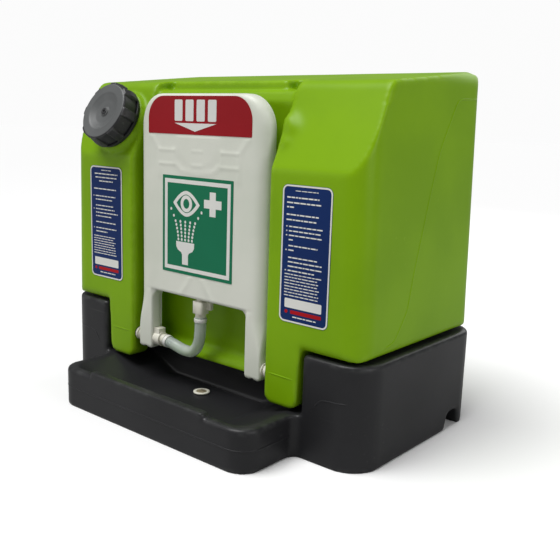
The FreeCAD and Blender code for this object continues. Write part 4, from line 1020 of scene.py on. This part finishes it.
def finger_lugs(r, h, angle):
    """Pushes the skirt out by up to five millimetres in eight wedges, which fade at the face."""
    wedge = smooth_step(np.cos(LUGS * angle), 0.25, 0.62)
    skirt = smooth_step(r, CAP_RADIUS - 0.0012, CAP_RADIUS - 0.0004)
    rise = smooth_step(h, CAP_FOOT + 0.4 * (CAP_FACE - CAP_FOOT), CAP_FACE - 0.001)
    return LUG_OUT * wedge * skirt * (1 - LUG_FADE * rise)


def paint_cap_face(piece):
    """Gives the ring, the dish and the hub of the cap's face their own finish."""
    middles = np.empty(len(piece.data.polygons) * 3, np.float32)
    piece.data.polygons.foreach_get("center", middles)
    middles = middles.reshape(-1, 3) - np.array(NECK_BASE)
    height = middles @ np.array(NECK_AXIS)
    reach = np.linalg.norm(middles - height[:, None] * np.array(NECK_AXIS), axis=1)
    on_face = (height > CAP_DISH_FLOOR - 0.002) & (reach < CAP_RADIUS - 0.0016)
    piece.data.materials.append(FINISHES["cap_face"])
    piece.data.polygons.foreach_set("material_index", on_face.astype(np.int32))
    piece.data.update()


cap_corners = [
    (0, CAP_DISH_FLOOR + 0.0012), (0.0035, CAP_DISH_FLOOR + 0.0012),
    (0.0038, CAP_DISH_FLOOR + 0.0034), (0.0070, CAP_DISH_FLOOR + 0.0034),
    (0.0082, CAP_DISH_FLOOR + 0.0010), (0.0200, CAP_DISH_FLOOR + 0.0020),
    (CAP_DISH - 0.001, CAP_FACE - 0.0012), (CAP_DISH + 0.0014, CAP_FACE),
    (CAP_RADIUS - 0.0024, CAP_FACE), (CAP_RADIUS, CAP_FACE - 0.0022),
    (CAP_RADIUS, CAP_FOOT + 0.0012), (CAP_RADIUS - 0.0012, CAP_FOOT), (CAP_INSIDE, CAP_FOOT),
    (CAP_INSIDE, CAP_ROOF), (0, CAP_ROOF)]
cap_profile = eased(stepped(cap_corners, CAP_STEP)[0], 2)
cap = revolved("screw_cap_finished", cap_profile, CAP_TURNS, NECK_BASE, NECK_AXIS, finger_lugs)
mark_edges(cap.data, 1, 4.0)
finish_piece(cap, "cap", "cap_grey", ["screw_cap"])
paint_cap_face(cap)
print("cap:", len(cap.data.polygons), "faces")

# %% [markdown]
# ## Small fittings
#
# The pivots, bushes, nuts, seals, spray heads, neck and drain are turned or moulded parts with
# right sizes already. What they lack is the small round that every real edge has and that
# catches the light. So each is a merged copy with a narrow bevel on its sharp edges.

# %% Softened copies
SAME_PLANE, SHARP_EDGE, EDGE_ROUND = math.radians(0.5), math.radians(32), 0.0005


def softened(node, body, finish):
    """Merged copy of a CAD node whose sharp edges get a narrow round bevel."""
    piece = merged_copy(node, node + "_finished")
    change_mesh(piece.data, lambda m: bmesh.ops.dissolve_limit(
        m, angle_limit=SAME_PLANE, verts=m.verts, edges=m.edges))
    piece.data.polygons.foreach_set("use_smooth", [True] * len(piece.data.polygons))
    bevel = piece.modifiers.new("edge_round", "BEVEL")
    bevel.width = EDGE_ROUND
    bevel.segments = 2
    bevel.limit_method = "ANGLE"
    bevel.angle_limit = SHARP_EDGE
    bevel.harden_normals = True
    return finish_piece(piece, body, finish, [node])


BODY_OF = {node: body for body, nodes in frame["record"]["behaviour"]["bodies"].items()
           for node in nodes}
FITTINGS = {
    "fitting_white": ["arm_manifold", "hose_inlet_fitting", "hose_swivel", "spray_head_left",
                      "spray_head_right", "pivot_pin_left", "pivot_pin_right", "pivot_nut_left",
                      "pivot_nut_right", "pivot_bush_left", "pivot_bush_right", "drain_bush"],
    "arm_white": ["arm_back_panel"],
    "cap_grey": ["cap_vent", "tether_ring", "filler_neck"],
    "seal_rubber": ["neck_gasket", "cap_gasket", "pivot_seal_left", "pivot_seal_right",
                    "drain_seal", "swivel_ring", "spray_ring_left", "spray_ring_right"],
    "screen_steel": ["spray_screen_left", "spray_screen_right"],
    # The drain grating's finish is painted shade for the shadow inside the drain's bore.
    "drain_tan": ["drain_grating"],
    "clip_plastic": ["hose_clip_lower", "hose_clip_upper"],
}
for finish, nodes in FITTINGS.items():
    for node in nodes:
        softened(node, BODY_OF[node], finish)

# %% Hose in place
hose.data.materials.append(FINISHES["hose_clear"])
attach(hose, "arm")
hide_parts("hose")

# %% [markdown]
# ## Printed labels
#
# A printed label is a thin film with flat shapes of ink. The film is the design's own plate. The
# ink is a set of flat polygons a tenth of a millimetre in front of it, which is sharper than any
# texture. All the drawings here are the builder's own plain shapes, and no words are printed:
# lines of print are rows of short bars.

# %% Flat ink
INK_PROUD, INK_THICKNESS, INK_WELD = 0.00012, 0.000096, 1e-6


def rectangle(x0, x1, z0, z1):
    """Corners of a rectangle between two values of X and two of Z."""
    return np.array([(x0, z0), (x1, z0), (x1, z1), (x0, z1)])


def rounded_rectangle(x0, x1, z0, z1, radius, steps=8):
    """Outline of a rectangle whose corners are quarter circles."""
    return np.array(arc((x1 - radius, z1 - radius), radius, 0, 90, steps)
                        + arc((x0 + radius, z1 - radius), radius, 90, 180, steps)
                        + arc((x0 + radius, z0 + radius), radius, 180, 270, steps)
                        + arc((x1 - radius, z0 + radius), radius, 270, 360, steps))


def band(outer, inner):
    """Quads between two closed outlines with as many points each."""
    count = len(outer)
    following = (np.arange(count) + 1) % count
    return [np.array([outer[i], outer[k], inner[k], inner[i]]) for i, k in enumerate(following)]


def weld_and_face_front(opened):
    """Joins the polygons of an opened mesh where they meet and turns them all to the front."""
    bmesh.ops.remove_doubles(opened, verts=opened.verts, dist=INK_WELD)
    for face in opened.faces:
        if face.normal.y > 0:
            face.normal_flip()


def inked(name, polygons, front, body, finish, material):
    """One mesh of flat polygons in X and Z, a little in front of a plate, with a thin edge."""
    sizes = [len(p) for p in polygons]
    flat = np.vstack(polygons)
    points = np.column_stack([flat[:, 0], np.full(len(flat), front - INK_PROUD), flat[:, 1]])
    starts = np.concatenate([[0], np.cumsum(sizes)[:-1]])
    faces = [list(range(s, s + n)) for s, n in zip(starts, sizes)]
    piece = surface(name, points, faces, smooth=False)
    change_mesh(piece.data, weld_and_face_front)
    film = piece.modifiers.new("film", "SOLIDIFY")
    film.thickness = INK_THICKNESS
    film.offset = -1
    return finish_piece(piece, body, finish, material=material)


def ellipse(centre, half_x, half_z, steps=48):
    """Closed ring of points with a half width in X and a half height in Z."""
    angle = np.linspace(0, 2 * np.pi, steps, endpoint=False)
    return np.column_stack([centre[0] + half_x * np.cos(angle), centre[1] + half_z * np.sin(angle)])


# %% Sign
sign_low, sign_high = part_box("eyewash_sign")
SIGN_FRONT = sign_low[1]
SIGN_X = (sign_low[0] + sign_high[0]) / 2
SIGN_MARGIN, SIGN_FRAME = 0.005, 0.006
SPRAY_X, NOZZLE_TOP, DROP_ROWS = SIGN_X - 0.024, 0.275, 6


def square_outline(inset):
    """The sign's own outline, moved in by an inset."""
    return rectangle(sign_low[0] + inset, sign_high[0] - inset, sign_low[2] + inset,
                     sign_high[2] - inset)


def almond(centre, half_x, half_z, steps=24):
    """Eye outline: two parabola-like arcs that meet in points, half_z high at the middle."""
    t = np.linspace(-1, 1, steps)
    upper = np.column_stack([centre[0] - half_x * t, centre[1] + half_z * (1 - np.abs(t) ** 1.8)])
    lower = np.column_stack([centre[0] + half_x * t, centre[1] - half_z * (1 - np.abs(t) ** 1.8)])
    return np.vstack([upper[:-1], lower[:-1]])


def eye_drawing(centre):
    """An almond band with a ring for the iris inside it."""
    outer = almond(centre, 0.0290, 0.0195)
    inner = almond(centre, 0.0215, 0.0140)
    iris = band(ellipse(centre, 0.0125, 0.0128), ellipse(centre, 0.0066, 0.0074))
    return band(outer, inner) + iris


def droplets(centre, low, high):
    """Five columns of round drops that fan out upwards, and two more beside each eye corner."""
    places = []
    for rise in np.arange(DROP_ROWS) / (DROP_ROWS - 1):
        spacing = 0.0075 + 0.0033 * rise ** 1.5
        places += [(column * spacing, low + (high - low) * rise) for column in range(-2, 3)]
    places += [(-0.0255, 0.314), (-0.0315, 0.324), (0.0280, 0.3145), (0.0350, 0.3235)]
    return [ellipse((centre + x, z), 0.0020, 0.0023, 12) for x, z in places]


def nozzle(centre, top):
    """Shower nozzle seen from the side: a dished head that narrows to an upright stem."""
    right = [(0.0065, -0.035), (0.0065, -0.020), (0.0085, -0.0165), (0.0160, -0.0130),
             (0.0195, -0.0080), (0.0200, 0.0)]
    outline = [(centre + x, top + z) for x, z in right]
    outline += [(centre - x, top + z) for x, z in reversed(right)]
    return np.array(outline)


def plus_drawing(centre, half, thick):
    """A plus sign from three rectangles that only touch: one upright bar and two short arms."""
    x, z = centre
    t = thick / 2
    return [rectangle(x - t, x + t, z - half, z + half), rectangle(x - half, x - t, z - t, z + t),
            rectangle(x + t, x + half, z - t, z + t)]


frame_ink = band(square_outline(SIGN_MARGIN), square_outline(SIGN_MARGIN + SIGN_FRAME))
drawing = eye_drawing((SIGN_X - 0.022, 0.334)) + droplets(SPRAY_X, 0.2785, 0.3060)
drawing += [nozzle(SPRAY_X, NOZZLE_TOP)]
drawing += plus_drawing((SIGN_X + 0.034, 0.3375), 0.0180, 0.0125)
inked("sign_print", frame_ink + drawing, SIGN_FRONT, "arm", "sign_green", INK_WHITE)
print("sign drawing:", len(drawing), "shapes")

# %% Pull label
pull_low, pull_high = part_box("pull_label")
PULL_X = (pull_low[0] + pull_high[0]) / 2 - 0.005
BAR_PITCH, BAR_HALF, BAR_HEIGHT = 0.0235, 0.0085, 0.031
HEAD_HALF, HEAD_TOP, HEAD_TIP = 0.044, 0.034, 0.046


def down_arrow(x, top):
    """Four upright bars over a wide flat arrow head that points down."""
    middles = [x + k * BAR_PITCH for k in (-1.5, -0.5, 0.5, 1.5)]
    bars = [rounded_rectangle(m - BAR_HALF, m + BAR_HALF, top - BAR_HEIGHT, top, 0.002, 4)
            for m in middles]
    head = np.array([(x - HEAD_HALF, top - HEAD_TOP), (x, top - HEAD_TIP),
                     (x + HEAD_HALF, top - HEAD_TOP)])
    return bars + [head]


inked("pull_print", down_arrow(PULL_X, pull_high[2] - 0.0055), pull_low[1], "arm", "pull_red",
      INK_WHITE)

# %% Notes labels
# A row is how far its top is below the label's top, its height, where it starts and where it ends,
# all in millimetres.
NOTE_BORDER, NOTE_EDGE, NOTE_CORNER = 0.0022, 0.0004, 0.009
NOTE_LEFT, NOTE_RIGHT, FINE_PITCH, BAR_GAP = 0.008, 0.0725, 0.0042, 0.0013
NOTE_ROWS_RIGHT = [(6, 1.5, 22, 60), (15, 2.6, 8, 62), (22, 2.6, 8, 66), (28, 2.6, 8, 20),
                   (38, 2.6, 8, 62), (45, 2.6, 8, 60), (54, 2.4, 13, 70), (60, 2.4, 13, 66),
                   (66, 2.4, 13, 68), (72, 2.4, 13, 20), (80, 2.4, 13, 62), (86, 2.4, 13, 24),
                   (96, 2.4, 13, 62), (102, 2.4, 13, 70), (108, 2.4, 13, 72), (114, 2.4, 13, 58)]
NOTE_ROWS_LEFT = [(5, 1.8, 30, 56), (11, 2.6, 12, 72), (17, 2.6, 14, 70), (23, 2.6, 24, 60),
                  (36, 2.6, 10, 68), (48, 2.4, 14, 66), (54, 2.4, 14, 58), (64, 2.4, 14, 60),
                  (70, 2.4, 14, 64), (76, 2.4, 14, 72), (82, 2.4, 14, 56), (92, 2.4, 14, 66),
                  (102, 2.4, 14, 68), (108, 2.4, 14, 44)]
FINE_ROWS = range(8)


def printed_row(left, right, middle, height, rng):
    """Bars of uneven length with gaps between, as a row of print looks from a distance."""
    bars = []
    at = left
    while at < right - 0.001:
        length = rng.uniform(0.0032, 0.0105)
        end = min(at + length, right)
        bars.append(rectangle(at, end, middle - height / 2, middle + height / 2))
        at = end + BAR_GAP
    return bars


def notes_label(node, rows, fine_top, name, seed):
    """White edge line, rows of bars, a plain white block and a red bar under it."""
    low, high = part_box(node)
    rng = np.random.default_rng(seed)
    left, top = low[0], high[2]
    outer = rounded_rectangle(left + NOTE_EDGE, high[0] - NOTE_EDGE, low[2] + NOTE_EDGE,
                              top - NOTE_EDGE, NOTE_CORNER - NOTE_EDGE)
    inset = NOTE_EDGE + NOTE_BORDER
    inner = rounded_rectangle(left + inset, high[0] - inset, low[2] + inset, top - inset,
                              NOTE_CORNER - inset)
    shapes = band(outer, inner)
    for offset, height, start, end in rows:
        shapes += printed_row(left + start / 1000, left + end / 1000, top - offset / 1000 - 0.002,
                              height / 1000 * 0.7, rng)
        if start in (13, 14) and height < 2.5 and rng.random() < 0.35:
            shapes.append(rectangle(left + NOTE_LEFT, left + 0.010, top - offset / 1000 - 0.0028,
                                    top - offset / 1000 - 0.0012))
    for k in FINE_ROWS:
        shapes += printed_row(left + NOTE_LEFT, left + rng.uniform(0.060, 0.072),
                              top - fine_top - FINE_PITCH * k, 0.0013, rng)
    block = [rounded_rectangle(left + 0.0095, left + NOTE_RIGHT, low[2] + 0.0205, low[2] + 0.0335,
                               0.0015, 4)]
    line = printed_row(left + 0.024, left + 0.064, low[2] + 0.0085, 0.0016, rng)
    inked(name + "_print", shapes + block + line, low[1], "stand", "notes_navy", INK_WHITE)
    red = [rounded_rectangle(left + 0.020, left + NOTE_RIGHT, low[2] + 0.0125, low[2] + 0.0175,
                             0.001, 4),
           ellipse((left + 0.0125, low[2] + 0.0150), 0.0026, 0.0026, 20)]
    inked(name + "_red_print", red, low[1], "stand", "notes_navy", INK_RED)


notes_label("notes_label_right", NOTE_ROWS_RIGHT, 0.121, "notes_right", 5)
notes_label("notes_label_left", NOTE_ROWS_LEFT, 0.118, "notes_left", 9)

# %% Label films
LABEL_FINISH = {"pull_label": "pull_red", "eyewash_sign": "sign_green",
                "notes_label_right": "notes_navy", "notes_label_left": "notes_navy"}
for node, finish in LABEL_FINISH.items():
    film = frame["nodes"][node]
    for material_slot in film.material_slots:
        material_slot.material = FINISHES[finish]
print("labels are printed")
